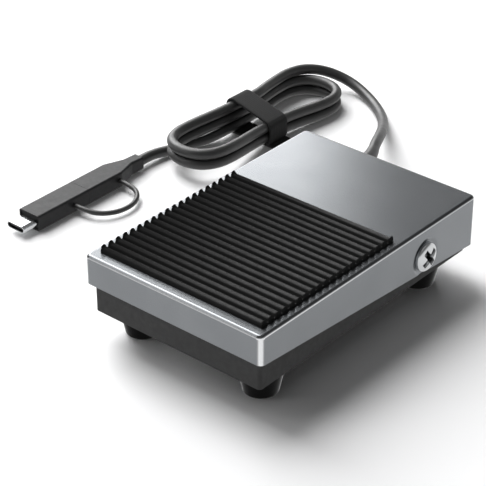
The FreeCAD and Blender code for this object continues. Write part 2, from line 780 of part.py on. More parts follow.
def make_spring():
    # Closed end coils on the seats, open coils between them
    low = tray_floor_z + SPRING_WIRE_RADIUS
    high = carrier_under - SPRING_AIR - SPRING_WIRE_RADIUS
    quarters = 4 * SPRING_TURNS
    closed = SPRING_CLOSED_QUARTERS
    drop = SPRING_LEAD / 4
    open_rise = (high - low - 2 * closed * drop) / (quarters - 2 * closed)
    rises = [drop] * closed + [open_rise] * (quarters - 2 * closed) + [drop] * closed
    heights = [low]
    for rise in rises:
        heights.append(heights[-1] + rise)
    slopes = [rises[0]] + [(a + b) / 2 for a, b in zip(rises, rises[1:])] + [rises[-1]]
    radius = SPRING_MEAN_RADIUS
    quarter_length = math.pi / 2 * radius
    marks = []
    for index, height in enumerate(heights):
        angle = math.pi / 2 * index
        point = Vector(radius * math.cos(angle), spring_y + radius * math.sin(angle), height)
        way = Vector(-math.sin(angle), math.cos(angle), slopes[index] / quarter_length)
        way.normalize()
        marks.append((point, way))
    path = []
    for (start, start_way), (end, end_way) in zip(marks, marks[1:]):
        path += biarc(start, start_way, end, end_way)
    print("return spring gap between its turns", round(own_gap(path, 2 * SPRING_WIRE_RADIUS), 2))
    return swept(path, SPRING_WIRE_RADIUS, "return spring")


# Circuit board and switch

def terminal_places():
    middle = switch_rear - SWITCH_LENGTH / 2
    return [middle - TERMINAL_PITCH, middle, middle + TERMINAL_PITCH]


def make_board():
    board = block(-board_half, board_half, board_front, board_rear, board_under, board_top)
    board = board.makeFillet(BOARD_CORNER, plumb_edges(board))
    low = board_under - OVERCUT
    high = board_top + OVERCUT
    for x, y in board_screw_places():
        board = board.cut(post(BOARD_SCREW_RADIUS + SCREW_PLAY, x, y, low, high))
    for y in terminal_places():
        board = board.cut(post(TERMINAL_HOLE_RADIUS, 0, y, low, high))
    return board


def on_board(setback, width, length, height):
    # Box on the right half of the board, its middle that far behind the front edge
    y = board_front + setback
    x0 = CHIP_X - width / 2
    y0 = y - length / 2
    return block(x0, x0 + width, y0, y0 + length, board_top, board_top + height)


def make_small_screws(places, top):
    screws = []
    for x, y in places:
        head = post(BOARD_SCREW_HEAD_RADIUS, x, y, top, top + BOARD_SCREW_HEAD)
        screws.append(head.fuse(post(BOARD_SCREW_RADIUS, x, y, top - BOARD_SCREW_LENGTH, top)))
    return Part.makeCompound(screws)


def make_switch_body():
    half = SWITCH_WIDTH / 2
    front = switch_rear - SWITCH_LENGTH
    body = block(-half, half, front, switch_rear, board_top, switch_top)
    ear_front = lever_pin_y - EAR_RADIUS
    ear_rear = lever_pin_y + EAR_RADIUS
    for sign in (-1, 1):
        x0, x1 = sorted((sign * half, sign * (half - EAR_WIDTH)))
        body = body.fuse(block(x0, x1, ear_front, ear_rear, switch_top, lever_pin_z))
        body = body.fuse(pin(EAR_RADIUS, x0, x1, lever_pin_y, lever_pin_z))
    body = body.removeSplitter()
    body = body.cut(pin(LEVER_PIN_RADIUS + RUN_CLEARANCE, -half, half, lever_pin_y, lever_pin_z))
    for y in (front + SWITCH_HOLE_INSET, switch_rear - SWITCH_HOLE_INSET):
        body = body.cut(pin(SWITCH_HOLE_RADIUS, -half, half, y, board_top + SWITCH_HOLE_RISE))
    reach_x = PLUNGER_WIDTH / 2 + PLUNGER_CLEARANCE
    reach_y = PLUNGER_LENGTH / 2 + PLUNGER_CLEARANCE
    low = switch_top + PLUNGER_PROUD - PLUNGER_HEIGHT - PLUNGER_TRAVEL - PLUNGER_CLEARANCE
    high = switch_top + OVERCUT
    y = lever_pin_y - PLUNGER_REACH
    return body.cut(block(-reach_x, reach_x, y - reach_y, y + reach_y, low, high))


def make_plunger():
    half_x = PLUNGER_WIDTH / 2
    half_y = PLUNGER_LENGTH / 2
    y = lever_pin_y - PLUNGER_REACH
    top = switch_top + PLUNGER_PROUD
    button = block(-half_x, half_x, y - half_y, y + half_y, top - PLUNGER_HEIGHT, top)
    crown = [edge for edge in edges_at_height(button, top) if edge.BoundBox.XLength > half_x]
    return button.makeFillet(PLUNGER_CROWN, crown)


def make_lever():
    half = LEVER_WIDTH / 2
    thick = LEVER_THICKNESS / 2
    tip_y = lever_pin_y - LEVER_LENGTH
    blade = block(-half, half, tip_y, lever_pin_y, lever_pin_z - thick, lever_pin_z + thick)
    shaft = pin(LEVER_PIN_RADIUS, -SWITCH_WIDTH / 2, SWITCH_WIDTH / 2, lever_pin_y, lever_pin_z)
    lever = blade.fuse(shaft).removeSplitter()
    lever.rotate(Vector(0, lever_pin_y, lever_pin_z), Vector(1, 0, 0), -LEVER_REST_DEG)
    return lever


def make_terminals():
    half_x = TERMINAL_THICKNESS / 2
    half_y = TERMINAL_WIDTH / 2
    low = board_top - TERMINAL_LENGTH
    tags = [block(-half_x, half_x, y - half_y, y + half_y, low, board_top) for y in terminal_places()]
    return Part.makeCompound(tags)


def header_frame():
    half = HEADER_WIDTH / 2
    return header_x - half, header_x + half, board_rear - HEADER_LENGTH, board_rear


def make_header():
    x0, x1, front, rear = header_frame()
    wall = HEADER_WALL
    top = board_top + HEADER_HEIGHT
    shroud = block(x0, x1, front, rear, board_top, top)
    room = block(x0 + wall, x1 - wall, front + wall, rear + OVERCUT, board_top + wall, top - wall)
    return shroud.cut(room)


def make_crimp_housing():
    x0, x1, front, rear = header_frame()
    edge = HEADER_WALL + PLUNGER_CLEARANCE
    start = front + edge
    low = board_top + edge
    high = board_top + HEADER_HEIGHT - edge
    return block(x0 + edge, x1 - edge, start, start + CRIMP_LENGTH, low, high)


def make_leads():
    x0, x1, front, rear = header_frame()
    start_y = front + HEADER_WALL + PLUNGER_CLEARANCE + CRIMP_LENGTH
    start_z = board_top + HEADER_HEIGHT / 2
    leave_y = start_y + LEAD_START_RUN
    arrive_y = tail_end_y - LEAD_END_RUN
    sag_y = (leave_y + arrive_y) / 2
    sag_z = tray_floor_z + LEAD_HEIGHT
    bundle = ((-1, -1), (-1, 1), (1, 1), (1, -1))
    middle = (len(bundle) - 1) / 2
    leads = []
    for index, (side, level) in enumerate(bundle):
        x = header_x + (index - middle) * LEAD_PITCH
        sag_x = exit_x + (index - middle) * LEAD_SPREAD
        end_x = exit_x + side * LEAD_BUNDLE
        end_z = EXIT_Z + level * LEAD_BUNDLE
        points = [
            Vector(x, start_y, start_z),
            Vector(x, leave_y, start_z),
            Vector(sag_x, sag_y, sag_z),
            Vector(end_x, arrive_y, end_z),
            Vector(end_x, tail_end_y, end_z),
        ]
        path, radii = bent_run(points)
        leads.append(swept(path, LEAD_RADIUS, "lead"))
    return Part.makeCompound(leads)


# Cord, gland and clamp

def make_gland():
    inner = wall_y - GLAND_FLANGE
    collar_end = tray_y + GLAND_COLLAR
    flange = rod(GLAND_FLANGE_RADIUS, exit_x, inner, wall_y, EXIT_Z)
    neck = rod(GLAND_NECK_RADIUS, exit_x, wall_y, tray_y, EXIT_Z)
    collar = rod(GLAND_COLLAR_RADIUS, exit_x, tray_y, collar_end, EXIT_Z)
    rings = []
    for index in range(SLEEVE_RINGS):
        share = index / (SLEEVE_RINGS - 1)
        centre, way = sleeve_point(share)
        radius = SLEEVE_ROOT_RADIUS + (SLEEVE_TIP_RADIUS - SLEEVE_ROOT_RADIUS) * share
        rings.append(Part.Wire(Part.makeCircle(radius, centre, way)))
    sleeve = Part.makeLoft(rings, True, False)
    return joined([flange, neck, collar, sleeve])


def sleeve_point(share):
    angle = math.radians(SLEEVE_BEND_DEG) * share
    collar_end = tray_y + GLAND_COLLAR
    droop = SLEEVE_DROOP * share * share
    x = exit_x - SLEEVE_BEND_RADIUS * (1 - math.cos(angle))
    y = collar_end + SLEEVE_BEND_RADIUS * math.sin(angle)
    fall = 2 * SLEEVE_DROOP * share / (SLEEVE_BEND_RADIUS * math.radians(SLEEVE_BEND_DEG))
    way = Vector(-math.sin(angle), math.cos(angle), -fall)
    way.normalize()
    return Vector(x, y, EXIT_Z - droop), way


def make_clamp():
    low = EXIT_Z + CLAMP_GAP
    bar = clamp_block(low, low + CLAMP_THICKNESS).cut(cord_groove())
    for x, y in clamp_screw_places():
        bar = bar.cut(post(BOARD_SCREW_RADIUS + SCREW_PLAY, x, y, low, low + CLAMP_THICKNESS))
    return bar


def clamp_block(low, high):
    # The clamp bar and the saddle under it have the same outline
    half_x = CLAMP_LENGTH / 2
    half_y = CLAMP_WIDTH / 2
    return block(exit_x - half_x, exit_x + half_x, clamp_y - half_y, clamp_y + half_y, low, high)


def cord_groove():
    reach = CLAMP_WIDTH / 2 + OVERCUT
    return rod(CORD_RADIUS + FIT_CLEARANCE, exit_x, clamp_y - reach, clamp_y + reach, EXIT_Z)


def hank_point(degrees):
    # Centre line: an oval drawn in at the waist, which drops one layer after each front shoulder
    angle = math.radians(degrees)
    layer, rest = divmod(degrees, 360)
    layers_left = HANK_LOOPS - layer - (1 if rest >= 270 else 0)
    lift = HANK_LIFT if rest in (90, 270) else 0
    x = HANK_X - (HANK_BELLY * math.sin(angle) + HANK_WAIST * math.sin(3 * angle))
    y = HANK_Y + HANK_REACH * math.cos(angle)
    z = CORD_RADIUS + HANK_LAYER * layers_left + lift
    sideways = -(HANK_BELLY * math.cos(angle) + 3 * HANK_WAIST * math.cos(3 * angle))
    way = Vector(sideways, -HANK_REACH * math.sin(angle), 0)
    way.normalize()
    return Vector(x, y, z), way


def hank_path():
    first = 90
    last = 360 * HANK_LOOPS + 90
    shoulder = HANK_SHOULDER_DEG
    stations = (0, shoulder, 90, 180 - shoulder, 180, 180 + shoulder, 270, 360 - shoulder)
    turns = [360 * layer + station for layer in range(HANK_LOOPS + 1) for station in stations]
    marks = [hank_point(degrees) for degrees in turns if first <= degrees <= last]
    start, start_way = marks[0]
    end, end_way = marks[-1]
    begin = start - start_way * HANK_TAIL
    finish = end + end_way * HANK_TAIL
    path = [Part.LineSegment(begin, start).toShape()]
    for (a, a_way), (b, b_way) in zip(marks, marks[1:]):
        path += biarc(a, a_way, b, b_way)
    path.append(Part.LineSegment(end, finish).toShape())
    return path, (begin, start_way), (finish, end_way)


def make_strap():
    # Band round the strands: one more at the back than at the front
    back = HANK_X - (HANK_BELLY - HANK_WAIST) - STRAP_EASE
    front = HANK_X + (HANK_BELLY - HANK_WAIST) + STRAP_EASE
    low = CORD_RADIUS + HANK_LIFT
    high_back = low + HANK_LAYER * HANK_LOOPS
    high_front = high_back - HANK_LAYER
    y0 = HANK_Y - STRAP_WIDTH / 2
    corners = [(back, low), (front, low), (front, high_front), (back, high_back)]
    solids = []
    for radius in (CORD_RADIUS + STRAP_CLEARANCE + STRAP_THICKNESS, CORD_RADIUS + STRAP_CLEARANCE):
        edges = []
        count = len(corners)
        ends = []
        for index in range(count):
            ax, az = corners[index]
            bx, bz = corners[(index + 1) % count]
            way = Vector(bx - ax, 0, bz - az)
            way.normalize()
            out = Vector(way.z, 0, -way.x)
            ends.append((Vector(ax, y0, az) + out * radius, Vector(bx, y0, bz) + out * radius))
        for index in range(count):
            a, b = ends[index]
            after = ends[(index + 1) % count][0]
            cx, cz = corners[(index + 1) % count]
            centre = Vector(cx, y0, cz)
            halfway = (b - centre) + (after - centre)
            halfway.normalize()
            edges.append(Part.LineSegment(a, b).toShape())
            edges.append(Part.Arc(b, centre + halfway * radius, after).toShape())
        solids.append(Part.Face(Part.Wire(edges)).extrude(Vector(0, STRAP_WIDTH, 0)))
    outer_radius = CORD_RADIUS + STRAP_CLEARANCE + STRAP_THICKNESS
    tail_low = low - outer_radius
    tail_end = front + outer_radius + STRAP_TAIL
    tail = block(front, tail_end, y0, y0 + STRAP_WIDTH, tail_low, tail_low + STRAP_THICKNESS)
    return solids[0].fuse(tail).cut(solids[1]).removeSplitter()


# Plug, adapter and tether

def stadium(width, height, y0, y1):
    radius = height / 2
    reach = width / 2 - radius
    z = PLUG_HEIGHT / 2
    left = rod(radius, PLUG_X - reach, y0, y1, z)
    right = rod(radius, PLUG_X + reach, y0, y1, z)
    middle = block(PLUG_X - reach, PLUG_X + reach, y0, y1, z - radius, z + radius)
    return joined([left, middle, right])


def make_shell(tip_y, root_y):
    outer = stadium(SHELL_WIDTH, SHELL_HEIGHT, tip_y, root_y)
    inner = stadium(SHELL_WIDTH - 2 * SHELL_WALL, SHELL_HEIGHT - 2 * SHELL_WALL, tip_y, root_y)
    return outer.cut(inner)


def make_tongue(tip_y, root_y):
    half = TONGUE_WIDTH / 2
    middle = PLUG_HEIGHT / 2
    thick = TONGUE_HEIGHT / 2
    return block(PLUG_X - half, PLUG_X + half, tip_y + TONGUE_SHORT, root_y, middle - thick, middle + thick)


def make_adapter():
    half = PLUG_WIDTH / 2
    rear = ADAPTER_FRONT_Y + ADAPTER_LENGTH
    body = block(PLUG_X - half, PLUG_X + half, ADAPTER_FRONT_Y, rear, 0, PLUG_HEIGHT)
    long_edges = [edge for edge in body.Edges if edge.BoundBox.YLength > PLUG_HEIGHT]
    body = body.makeFillet(PLUG_EDGE, long_edges)
    rim = half - ADAPTER_RIM
    rim_floor = ADAPTER_FRONT_Y + ADAPTER_RIM_DEPTH
    high = PLUG_HEIGHT - ADAPTER_RIM
    recess = block(PLUG_X - rim, PLUG_X + rim, ADAPTER_FRONT_Y, rim_floor, ADAPTER_RIM, high)
    shell_root = ADAPTER_FRONT_Y + SHELL_ROOT
    shell_hole = stadium(SHELL_WIDTH, SHELL_HEIGHT, ADAPTER_FRONT_Y, shell_root)
    wide = SHELL_WIDTH + 2 * SOCKET_CLEARANCE
    tall = SHELL_HEIGHT + 2 * SOCKET_CLEARANCE
    socket = stadium(wide, tall, rear - SHELL_REACH - SOCKET_ROOM, rear)
    return body.cut(recess).cut(shell_hole).cut(socket)


def make_plug_body():
    half = PLUG_WIDTH / 2
    neck = PLUG_NECK_WIDTH / 2
    front = ADAPTER_FRONT_Y + ADAPTER_LENGTH + ADAPTER_SEAM
    plan = [
        (PLUG_X - half, front, 0),
        (PLUG_X + half, front, 0),
        (PLUG_X + half, PLUG_SHOULDER_Y, 0),
        (PLUG_X + neck, PLUG_NECK_Y, 0),
        (PLUG_X + neck, PLUG_REAR_Y, 0),
        (PLUG_X - neck, PLUG_REAR_Y, 0),
        (PLUG_X - neck, PLUG_NECK_Y, 0),
        (PLUG_X - half, PLUG_SHOULDER_Y, 0),
    ]
    drop = (PLUG_HEIGHT - PLUG_NECK_HEIGHT) / 2
    side = [
        (PLUG_X - half, front, 0),
        (PLUG_X - half, PLUG_SHOULDER_Y, 0),
        (PLUG_X - half, PLUG_REAR_Y, drop),
        (PLUG_X - half, PLUG_REAR_Y, PLUG_HEIGHT - drop),
        (PLUG_X - half, PLUG_SHOULDER_Y, PLUG_HEIGHT),
        (PLUG_X - half, front, PLUG_HEIGHT),
    ]
    body = prism(plan, Vector(0, 0, PLUG_HEIGHT)).common(prism(side, Vector(PLUG_WIDTH, 0, 0)))
    low_edges = [edge for edge in body.Edges if edge.BoundBox.ZLength < PLUG_HEIGHT - PLUG_NECK_HEIGHT]
    long_edges = [edge for edge in low_edges if edge.BoundBox.YLength > PLUG_EDGE]
    body = body.makeFillet(PLUG_EDGE, long_edges)
    return body.cut(stadium(SHELL_WIDTH, SHELL_HEIGHT, front, front + SHELL_ROOT))


def make_tether():
    side_x = PLUG_X + PLUG_WIDTH / 2
    first = TETHER_ROUTE[0]
    last = TETHER_ROUTE[-1]
    points = [Vector(side_x + TETHER_AIR, first[1], first[2])]
    points += [Vector(*point) for point in TETHER_ROUTE]
    points.append(Vector(side_x, last[1], last[2]))
    path, radii = bent_run(points)
    print("tether radii", [round(radius, 1) for radius in radii])
    return swept(path, TETHER_RADIUS, "tether")


os.makedirs("parts", exist_ok=True)

save("pedal_cover", make_cover())
save("tread_pad", make_pad())
save("carrier", make_carrier())
save("carrier_screws", make_carrier_screws())
for side_name, sign in (("left", -1), ("right", 1)):
    save("pivot_bushing_" + side_name, make_bushing(sign))
    save("pivot_insert_" + side_name, make_insert(sign))
    save("pivot_screw_" + side_name, make_pivot_screw(sign))

save("base_tray", make_tray())
for foot_name, place in foot_places().items():
    save(foot_name, make_foot(*place))
save("foot_screws", make_foot_screws())
stop_list, rest_list = stop_places()
for side_name, place in zip(("left", "right"), stop_list):
    save("bump_stop_" + side_name, make_cushion(*place, STOP_HEIGHT))
for side_name, place in zip(("left", "right"), rest_list):
    save("rest_pad_" + side_name, make_cushion(*place, REST_HEIGHT))
save("return_spring", make_spring())

save("circuit_board", make_board())
save("board_screws", make_small_screws(board_screw_places(), board_top))
save("controller_chip", on_board(CHIP_SETBACK, CHIP_SIDE, CHIP_SIDE, CHIP_HEIGHT))
crystal = on_board(CRYSTAL_SETBACK, CRYSTAL_LENGTH, CRYSTAL_WIDTH, CRYSTAL_HEIGHT)
save("clock_crystal", crystal.makeFillet(CRYSTAL_CORNER, plumb_edges(crystal)))
save("wire_header", make_header())
save("crimp_housing", make_crimp_housing())
save("inner_leads", make_leads())
save("switch_body", make_switch_body())
save("switch_terminals", make_terminals())
save("switch_plunger", make_plunger())
save("switch_lever", make_lever())

save("cord_gland", make_gland())
save("cord_tail", rod(CORD_RADIUS, exit_x, tail_end_y, wall_y - GLAND_FLANGE, EXIT_Z))
save("cord_clamp", make_clamp())
save("clamp_screws", make_small_screws(clamp_screw_places(), EXIT_Z + CLAMP_GAP + CLAMP_THICKNESS))

coil_path, (coil_begin, coil_in), (coil_finish, coil_out) = hank_path()
print("hank gap to itself", round(own_gap(coil_path, 2 * CORD_RADIUS), 2))
save("cord_hank", swept(coil_path, CORD_RADIUS, "hank"))
sleeve_tip, sleeve_way = sleeve_point(1)
free_points = [sleeve_tip, sleeve_tip + sleeve_way * ENTRY_RUN]
free_points += [Vector(*point) for point in FREE_ROUTE]
free_points += [coil_begin - coil_in * ENTRY_RUN, coil_begin]
free_path, free_radii = bent_run(free_points)
print("free cord radii", [round(radius, 1) for radius in free_radii])
save("cord_to_hank", swept(free_path, CORD_RADIUS, "free cord"))
plug_rear = Vector(PLUG_X, PLUG_REAR_Y, PLUG_HEIGHT / 2)
plug_points = [coil_finish, coil_finish + coil_out * ENTRY_RUN]
plug_points += [Vector(*point) for point in PLUG_ROUTE]
plug_points += [plug_rear + Vector(0, PLUG_RUN, 0), plug_rear]
plug_path, plug_radii = bent_run(plug_points)
print("plug cord radii", [round(radius, 1) for radius in plug_radii])
save("cord_to_plug", swept(plug_path, CORD_RADIUS, "plug cord"))
save("hank_strap", make_strap())

adapter_rear = ADAPTER_FRONT_Y + ADAPTER_LENGTH
plug_front = adapter_rear + ADAPTER_SEAM
save("adapter_body", make_adapter())
save("adapter_shell", make_shell(ADAPTER_FRONT_Y - SHELL_REACH, ADAPTER_FRONT_Y + SHELL_ROOT))
save("adapter_tongue", make_tongue(ADAPTER_FRONT_Y - SHELL_REACH, ADAPTER_FRONT_Y + SHELL_ROOT))
save("plug_body", make_plug_body())
save("plug_shell", make_shell(plug_front - SHELL_REACH, plug_front + SHELL_ROOT))
save("plug_tongue", make_tongue(plug_front - SHELL_REACH, plug_front + SHELL_ROOT))
save("plug_tether", make_tether())
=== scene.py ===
import json
import math

import bmesh
import bpy
from mathutils import Matrix, Vector


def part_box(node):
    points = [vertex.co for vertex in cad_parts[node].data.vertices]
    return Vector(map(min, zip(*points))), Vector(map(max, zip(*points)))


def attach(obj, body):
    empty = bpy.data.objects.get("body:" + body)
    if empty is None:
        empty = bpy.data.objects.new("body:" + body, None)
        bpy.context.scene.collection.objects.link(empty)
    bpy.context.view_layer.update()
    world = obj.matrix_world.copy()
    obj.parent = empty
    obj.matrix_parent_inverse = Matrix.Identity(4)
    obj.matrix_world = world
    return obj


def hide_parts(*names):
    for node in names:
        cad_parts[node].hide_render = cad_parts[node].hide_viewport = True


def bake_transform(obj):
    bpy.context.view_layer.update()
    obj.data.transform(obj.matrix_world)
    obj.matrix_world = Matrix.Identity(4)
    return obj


# Foot pedal switch with its cord in a strapped hank, on a white studio floor. Camera, lamps and floor are in
# metres, the object's own sizes in mm.
MM = 0.001

# Camera
EYE = (0.32325, -0.39947, 0.33541)
CAMERA_RIGHT = (0.7608, 0.6490, -0.0007)
CAMERA_DOWN = (0.3364, -0.3953, -0.8547)
CAMERA_FORWARD = (-0.5550, 0.6500, -0.5191)
LENS = 138.45
SENSOR = 36.0
CLIP_NEAR = 0.01
CLIP_FAR = 20

# Lamps: name, place, target, size, power and the direction of the second size
LAMPS = (
    ("key_softbox", (-1.43, 0.42, 1.62), (0, 0, 0), (1.32, 1.9), 70, (0, 0, 1)),
    ("rear_card", (-0.527, 0.3325, 0.231), (-0.12, -0.07, 0.03), (0.46, 0.282), 1.75, (0, 0, 1)),
    ("edge_strip", (-0.61, -0.59, 0.70), (0, 0, 0.02), (0.24, 0.95), 2.6, (0, 0.767, 0.641)),
    ("overhead", (0.12, -0.02, 1.3), (0.03, 0, 0), (1.2, 1.2), 0.7, (0, 1, 0)),
)

# Surroundings: light walls that fade into a dim ceiling between two heights of the view direction, and the fill
FADE_START = 0.10
FADE_END = 0.40
WALL_LIGHT = 1.0
CEILING_LIGHT = 0.2
FILL_LIGHT = 0.09

# Floor, which turns into a plain white backdrop between two distances
FLOOR_COLOUR = (0.93, 0.93, 0.935, 1)
FLOOR_HALF = 6.0
FLOOR_IN_GLOSS = 0.81
BACKDROP_START = 0.3
BACKDROP_END = 0.55

# Cord from the sleeve at the back of the pedal to the plug
CORD_DIAMETER = 4.0
CORD_RADIUS = CORD_DIAMETER / 2
CORD_ROUNDING = 1.012
CORD_START = (
    (-22.8, 76.74, 16.38),
    (-24.204, 79.382, 16.2),
    (-27.015, 84.67, 15.83),
)
FREE_ROUTE = (
    (-31.3, 92.8, 13.9),
    (-36.3, 101.0, 11.0),
    (-42.0, 109.6, 7.4),
    (-48.5, 118.5, 4.2),
    (-56.7, 127.1, 2.4),
    (-67.0, 134.0, 2.2),
    (-78.2, 137.2, 4.2),
    (-87.2, 133.2, 7.7),
    (-92.4, 125.6, 10.0),
    (-94.5, 117.5, 10.5),
    (-93.9, 108.8, 10.5),
    (-92.2, 100.3, 11.1),
    (-90.6, 94.6, 11.6),
)
PLUG_ROUTE = (
    (-90.6, 74.6, 3.2),
    (-92.4, 66.4, 2.2),
    (-95.3, 58.6, 2.0),
    (-97.7, 50.6, 2.1),
    (-99.05, 43.0, 3.05),
    (-99.05, 36.0, 3.05),
    (-99.05, 33.0, 3.05),
)

# Hank: an oval drawn in at the waist, which drops one layer after each front shoulder
HANK_X = -83.1
HANK_Y = 84.6
HANK_REACH = 42.4
HANK_BELLY = 11.9
HANK_WAIST = 4.4
HANK_LAYER = 4.2
HANK_LIFT = 1.2
HANK_SHOULDER = 38
HANK_LOOPS = 2
HANK_STEP = 18

# Tether of the adapter
TETHER_DIAMETER = 1.8
TETHER_ROUTE = (
    (-94.15, -2.4, 3.05),
    (-90.2, -2.4, 3.05),
    (-84.5, -0.7, 2.4),
    (-80.3, 5.4, 2.0),
    (-80.0, 13.8, 2.0),
    (-84.3, 19.9, 2.4),
    (-90.0, 20.8, 3.05),
    (-94.15, 20.8, 3.05),
)

# Strap
STRAP_WIDTH = 10.0
STRAP_THICKNESS = 1.0
STRAP_CLEARANCE = 0.15
STRAP_EASE = 0.42
STRAP_EDGE = 0.25
STRAP_COLUMNS = 9
STRAP_CORNER_STEPS = 8
STRAP_TAIL = 8.0
STRAP_TAIL_START = 1.0
STRAP_TAIL_NARROW = 1.4
STRAP_TAIL_STEPS = 10

# Tread pad
RIB_COUNT = 20
RIB_ROOT = 1.3
RIB_CROWN = 1.0
RIB_CROWN_RISE = 0.9
RIB_STEPS = 10
PAD_SHEET = 0.7
PAD_END_LIP = 0.9
PAD_END_STEPS = 5

# Feet
FEET = ("foot_front_left", "foot_front_right", "foot_rear_left", "foot_rear_right")
FOOT_BOTTOM_RADIUS = 5.8
FOOT_EDGE = 0.7
FOOT_POCKET_RADIUS = 3.5
FOOT_POCKET_DEPTH = 3.2
FOOT_POCKET_LIP = 0.5
FOOT_COLLAR = 0.55
FOOT_TAPER_STOP = 0.9

# Pivot, and the pressed dishes of the cover about it
PIVOT_Y = 27.4
PIVOT_Z = 19.8
DISH_REACH = 7.2

# Pivot screws
SCREW_HEAD_RADIUS = 5.0
SCREW_HEAD_RIM = 0.8
SCREW_HEAD_HEIGHT = 2.45
SCREW_HEAD_BREAK = 0.12
SCREW_CROWN_POWER = 2.3
SCREW_SHOULDER_RADIUS = 3.0
SCREW_SHOULDER = 3.2
SCREW_THREAD_RADIUS = 2.5
SCREW_TIP = 0.5
SCREW_RINGS = 60
SCREW_SEGMENTS = 144
RECESS_SPAN = 7.0
RECESS_WIDTH = 2.1
RECESS_DEPTH = 2.3
RECESS_LIP = 0.8
RECESS_LIP_SHARE = 0.15
RECESS_TURN = 37
RECESS_MARGIN = 0.3
RECESS_SHADE_REACH = 2.2

# Return spring
SPRING_TURNS = 5
SPRING_CLOSED_TURNS = 0.75
SPRING_LEAD = 1.9
SPRING_WIRE_RADIUS = 0.7
SPRING_STEPS = 48

# Sleeve of the cord: its collar in the tray's wall as (y, radius), then the grooved taper
EXIT_X = -18.0
EXIT_Z = 17.0
COLLAR = ((49.3, 4.5), (50.8, 4.5), (50.8, 3.5), (53.0, 3.5), (53.0, 4.2), (53.3, 4.5), (54.2, 4.5))
COLLAR_END_Y = 54.5
SLEEVE_BEND_RADIUS = 53.0
SLEEVE_BEND_DEG = 28.0
SLEEVE_DROOP = 0.8
SLEEVE_ROOT_RADIUS = 3.9
SLEEVE_TIP_RADIUS = 2.15
SLEEVE_STEPS = 96
SLEEVE_GROOVES = 7
SLEEVE_PLAIN_GROOVES = 3
SLEEVE_GROOVE_DEPTH = 0.45
SLEEVE_GROOVE_FADE = 0.4
SLEEVE_GROOVE_START = 0.62

# Part of a noise's 0 to 1 over which colour and roughness change
NOISE_LOW = 0.3
NOISE_HIGH = 0.7

# Polished edges of the cover: lower roughness, and a colour of painted highlight and painted shade set by the
# components of the surface's direction
FLAT_SIDE = 0.995
ROUND_SIDE = 0.95
BEVEL_FOOT = 0.15
BEVEL_TOP = 0.6
# Colours of the painted highlight and the painted shade on the rounded edges
PAINTED_EDGE_HIGHLIGHT = (0.80, 0.81, 0.82)
PAINTED_EDGE_SHADE = (0.10, 0.104, 0.108)
EDGE_ROUGHNESS = 0.2
UPRIGHT = 0.03
CORNER_MIDDLE = 0.44
CORNER_SIDE = 0.30
CORNER_SHADE = 0.62
# The painted highlight on the right edge widens from the rear to the front
RIGHT_EDGE_REAR_Y = 35
RIGHT_EDGE_FRONT_Y = -50
RIGHT_EDGE_HIGHLIGHT_LIFT = 0.22

# Plain materials: dark and light colour, roughness, grain per metre, grain depth in metres, metallic and specular
PLAIN_FINISHES = {
    "tread_rubber": ((0.010, 0.010, 0.010), (0.013, 0.013, 0.013), (0.56, 0.64), 2600, 0.00002, 0.0, 0.08),
    "base_plastic": ((0.034, 0.034, 0.034), (0.042, 0.042, 0.042), (0.6, 0.75), 3200, 0.00003, 0.0, 0.3),
    "foot_rubber": ((0.004, 0.004, 0.004), (0.006, 0.006, 0.006), (0.10, 0.16), 900, 0.000004, 0.0, 0.03),
    "steel": ((0.50, 0.51, 0.52), (0.62, 0.62, 0.63), (0.25, 0.38), 2200, 0.00001, 1.0, 0.5),
    "brass": ((0.60, 0.42, 0.16), (0.75, 0.55, 0.25), (0.22, 0.35), 2200, 0.00001, 1.0, 0.5),
    "bushing_plastic": ((0.66, 0.65, 0.60), (0.74, 0.73, 0.69), (0.4, 0.5), 2600, 0.00001, 0.0, 0.5),
    "carrier_plastic": ((0.020, 0.020, 0.021), (0.032, 0.032, 0.034), (0.45, 0.6), 2600, 0.00002, 0.0, 0.5),
    "chip_plastic": ((0.035, 0.035, 0.036), (0.050, 0.050, 0.052), (0.4, 0.55), 3000, 0.00001, 0.0, 0.5),
    "crystal_metal": ((0.55, 0.55, 0.56), (0.66, 0.66, 0.67), (0.2, 0.3), 2600, 0.00001, 1.0, 0.5),
    "header_plastic": ((0.62, 0.58, 0.48), (0.70, 0.66, 0.56), (0.4, 0.55), 2600, 0.00001, 0.0, 0.5),
    "lead_sleeve": ((0.30, 0.03, 0.03), (0.40, 0.05, 0.04), (0.4, 0.5), 2600, 0.00001, 0.0, 0.5),
    "switch_plastic": ((0.016, 0.016, 0.017), (0.026, 0.026, 0.027), (0.4, 0.55), 2600, 0.00001, 0.0, 0.5),
    "plunger_plastic": ((0.42, 0.03, 0.03), (0.52, 0.05, 0.04), (0.35, 0.45), 2600, 0.00001, 0.0, 0.5),
    "cord_jacket": ((0.020, 0.020, 0.020), (0.027, 0.027, 0.027), (0.40, 0.50), 1500, 0.00002, 0.0, 0.55),
    "plug_plastic": ((0.016, 0.016, 0.017), (0.021, 0.021, 0.022), (0.44, 0.54), 3600, 0.00002, 0.0, 0.19),
}

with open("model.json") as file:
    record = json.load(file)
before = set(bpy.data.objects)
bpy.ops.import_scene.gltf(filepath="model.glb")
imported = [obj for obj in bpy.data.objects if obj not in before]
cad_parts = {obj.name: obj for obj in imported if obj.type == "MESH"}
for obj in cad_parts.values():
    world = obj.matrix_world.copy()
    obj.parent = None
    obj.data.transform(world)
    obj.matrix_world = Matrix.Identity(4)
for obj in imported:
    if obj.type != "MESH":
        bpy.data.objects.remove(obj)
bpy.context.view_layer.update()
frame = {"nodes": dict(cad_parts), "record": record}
scene = bpy.context.scene
scene.view_settings.view_transform = "Standard"


def link(obj):
    scene.collection.objects.link(obj)
    return obj


def facing(right, up, back, place):
    # World matrix of a camera or lamp, which looks against its back direction
    turn = Matrix((right, up, back)).transposed().to_4x4()
    return Matrix.Translation(Vector(place)) @ turn


